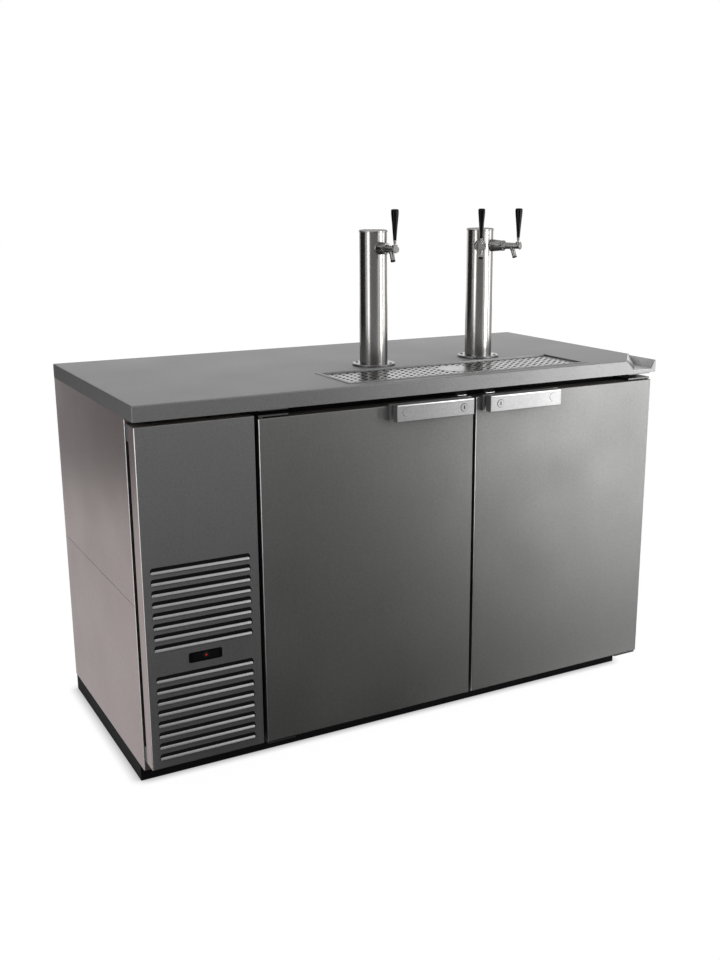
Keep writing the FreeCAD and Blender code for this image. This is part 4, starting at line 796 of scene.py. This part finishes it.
# Caps with a rounded shoulder
cap_profile = [(-0.0128, 0.0), (-0.0128, 0.0366), (-0.0050, 0.0366), (-0.0050, 0.0381),
               (-0.0047, 0.0389), (-0.0036, 0.0393), (-0.0022, 0.0392), (-0.0008, 0.0384),
               (0.0004, 0.0370), (0.0014, 0.0345), (0.0023, 0.0295), (0.0030, 0.0200),
               (0.0033, 0.0100), (0.0034, 0.0)]
cap_top = corners_of("tower_caps")[1].z
bm = bmesh.new()
for at in tower_axis.values():
    lathe(bm, cap_profile, facing(V((at.x, at.y, cap_top)), "up"), 96)
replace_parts(add_piece("tower_cap_dress", bm, tower_steel, "cabinet"),
            "tower_caps")

# Flange screws, with flat black crosses on their heads: painted shade of their cross recesses
flange_top = corners_of("tower_flanges")[1].z
screw_circle, first_turn, next_turn = 0.0485, 0.4, 1.1
cross_half, cross_width, cross_height = 0.0021, 0.00035, 0.00225
head_profile = [(-0.002, 0.0), (-0.002, 0.0019), (0.0, 0.0019), (0.0, 0.0042), (0.0008, 0.0041),
                (0.0016, 0.0034), (0.0021, 0.0022), (0.0022, 0.0)]
bm, cross_shade = bmesh.new(), bmesh.new()
for tower in tower_axis.values():
    for quarter in range(4):
        angle = math.tau * (quarter + 0.5) / 4
        at = V((tower.x + screw_circle * math.cos(angle), tower.y + screw_circle * math.sin(angle),
                flange_top))
        lathe(bm, head_profile, facing(at, "up"), 24)
        spin = Matrix.Rotation(first_turn + next_turn * quarter, 3, "Z")
        for turn in (0.0, math.pi / 2):
            along = spin @ V((math.cos(turn), math.sin(turn), 0)) * cross_half
            across = along.cross(V((0, 0, 1))).normalized() * cross_width
            cross_shade.faces.new([cross_shade.verts.new(at + V((0, 0, cross_height)) + corner)
                                for corner in (along + across, along - across,
                                               -along - across, -along + across)])
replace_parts(add_piece("tower_screw_dress", bm, faucet_steel, "cabinet"),
            "tower_screws")
add_piece("screw_cross_shade", cross_shade, black_rubber, "cabinet")

# ------------------------------------------------------------------ studio


def emptied(owner):
    """The node tree of a material or a world, with no nodes in it."""
    owner.use_nodes = True
    owner.node_tree.nodes.clear()
    return NodeTree(owner.node_tree)


def show_by_ray(tree, others, sight, output):
    """One surface for camera, glossy and transmission rays, and another for all others."""
    path = tree.add("ShaderNodeLightPath").outputs
    seen = tree.math("MAXIMUM", path["Is Camera Ray"], path["Is Glossy Ray"])
    mix = tree.add("ShaderNodeMixShader", Fac=tree.math("MAXIMUM", seen, path["Is Transmission Ray"]))
    tree.join((others.outputs[0], mix.inputs[1]), (sight.outputs[0], mix.inputs[2]))
    tree.add(output, Surface=mix.outputs[0])


def stage_sheet(name, corners, material):
    """A flat sheet of the studio, which isn't part of the object."""
    bm = bmesh.new()
    bm.faces.new([bm.verts.new(corner) for corner in corners])
    mesh = bpy.data.meshes.new(name)
    bm.to_mesh(mesh)
    bm.free()
    mesh.materials.append(material)
    piece = bpy.data.objects.new(name, mesh)
    scene.collection.objects.link(piece)
    return piece


def lamp(name, at, target, size, radiance, soft=True, shine=True):
    """A rectangular lamp of a given brightness, turned to a target."""
    data = bpy.data.lights.new(name, "AREA")
    data.shape = "RECTANGLE"
    data.size, data.size_y = size
    data.energy = radiance * math.pi * size[0] * size[1]
    piece = bpy.data.objects.new(name, data)
    scene.collection.objects.link(piece)
    piece.location = at
    piece.rotation_euler = (V(target) - V(at)).to_track_quat("-Z", "Y").to_euler()
    piece.visible_diffuse = soft
    piece.visible_glossy = shine


def card(name, at, width, height, turn, level, flat=False):
    """A grey card that only shows in the metal, standing up or lying flat."""
    along, rise = V((-math.sin(turn), math.cos(turn), 0)), V((0, 0, 1))
    if flat:
        along, rise = V((math.cos(turn), math.sin(turn), 0)), along
    material = bpy.data.materials.new(name)
    tree = emptied(material)
    grey = tree.add("ShaderNodeEmission", Color=(level, level, level, 1))
    tree.add("ShaderNodeOutputMaterial", Surface=grey.outputs[0])
    piece = stage_sheet(name, [V(at) + along * width * a + rise * height * b
                               for a, b in ((-0.5, -0.5), (0.5, -0.5), (0.5, 0.5), (-0.5, 0.5))],
                        material)
    piece.visible_camera = False
    piece.visible_diffuse = False
    piece.visible_shadow = False
    piece.visible_transmission = False


# A soft grey sky that is white to the eye
scene.world = bpy.data.worlds.new("studio")
tree = emptied(scene.world)
show_by_ray(tree, tree.add("ShaderNodeBackground", Color=(0.42, 0.42, 0.43, 1)),
            tree.add("ShaderNodeBackground", Color=(1, 1, 1, 1)), "ShaderNodeOutputWorld")

# A white floor that keeps the object's shadow close to it
floor_reach, floor_height, contact_reach = 30, -0.0002, 0.032
material = bpy.data.materials.new("studio_floor")
tree = emptied(material)
contact = tree.add("ShaderNodeAmbientOcclusion", samples=16, Distance=contact_reach)
glow = tree.add("ShaderNodeEmission", Strength=0.985, Color=contact.outputs["Color"])
shadow = tree.add("ShaderNodeBsdfDiffuse", Color=(0.05, 0.05, 0.05, 1))
sight = tree.add("ShaderNodeAddShader")
tree.join((glow.outputs[0], sight.inputs[0]), (shadow.outputs[0], sight.inputs[1]))
show_by_ray(tree, tree.add("ShaderNodeBsdfDiffuse", Color=(0.8, 0.8, 0.8, 1)), sight,
            "ShaderNodeOutputMaterial")
stage_sheet("studio_floor", [(floor_reach * x, floor_reach * y, floor_height)
                             for x, y in ((-1, -1), (1, -1), (1, 1), (-1, 1))], material)

# Name, place, target, size and brightness
lamp("box_right", (2.242, -2.473, 0.96), (2.874, -1.698, 0.96), (3.52, 1.9), 8.1, soft=False)
lamp("box_far", (1.454, 2.2, 1.294), (1.123, 1.257, 1.294), (4.14, 0.874), 1.9, soft=False)
lamp("strip_left", (-2.96, -1.29, 1.45), (0.0, -0.06, 1.2), (0.70, 1.6), 4.0, soft=False)
lamp("strip_right", (1.15, -2.75, 1.85), (0.0, -0.06, 1.2), (0.6, 1.2), 3.0, soft=False)
lamp("strip_far", (2.7, -1.2, 1.05), (0.0, -0.06, 1.05), (0.9, 1.5), 2.4, soft=False)
lamp("soft_right", (3.0, -2.6, 2.2), (0.2, 0.0, 0.8), (2.6, 2.4), 1.5, shine=False)
# Name, place, width, height, turn in radians and grey level
card("card_floor", (0.60, -1.84, 0.004), 3.33, 2.8, -0.127, 0.075, flat=True)
card("card_side", (-1.17, 0.55, 0.004), 0.8, 2.4, 0.0, 0.82, flat=True)
card("card_left", (-1.6, 2.256, 0.51), 1.97, 1.017, -0.145, 0.03)
card("card_tower_left", (-2.3, 1.5, 1.40), 3.2, 1.7, -0.60, 0.03)
card("card_tower_front", (-1.3, -3.3, 1.3), 4.3, 2.0, 1.02, 0.28)

# ------------------------------------------------------------------ camera

# Fitted to the photo: its size, focal length and optical centre in pixels
image_width, image_height = 720.0, 960.0
focal_pixels, centre_x, centre_y = 1118.0, 397.34, 478.83
camera_place = V((-1.44917, -2.75095, 1.41522))
ahead = V((0.47850, 0.84303, -0.24564)).normalized()
side = V((0.86978, -0.49344, 0.00085)).normalized()
up = side.cross(ahead).normalized()

camera_data = bpy.data.cameras.new("camera")
camera = bpy.data.objects.new("camera", camera_data)
scene.collection.objects.link(camera)
camera_data.sensor_width = 36.0
camera_data.lens = camera_data.sensor_width * focal_pixels / image_height
camera_data.shift_x = (image_width / 2 - centre_x) / image_height
camera_data.shift_y = (centre_y - image_height / 2) / image_height
camera_data.clip_end = 100.0
camera.matrix_world = Matrix.Translation(camera_place) @ Matrix((
    (side.x, up.x, -ahead.x), (side.y, up.y, -ahead.y), (side.z, up.z, -ahead.z))).to_4x4()
scene.camera = camera
scene.view_settings.view_transform = "Standard"

bpy.context.view_layer.update()
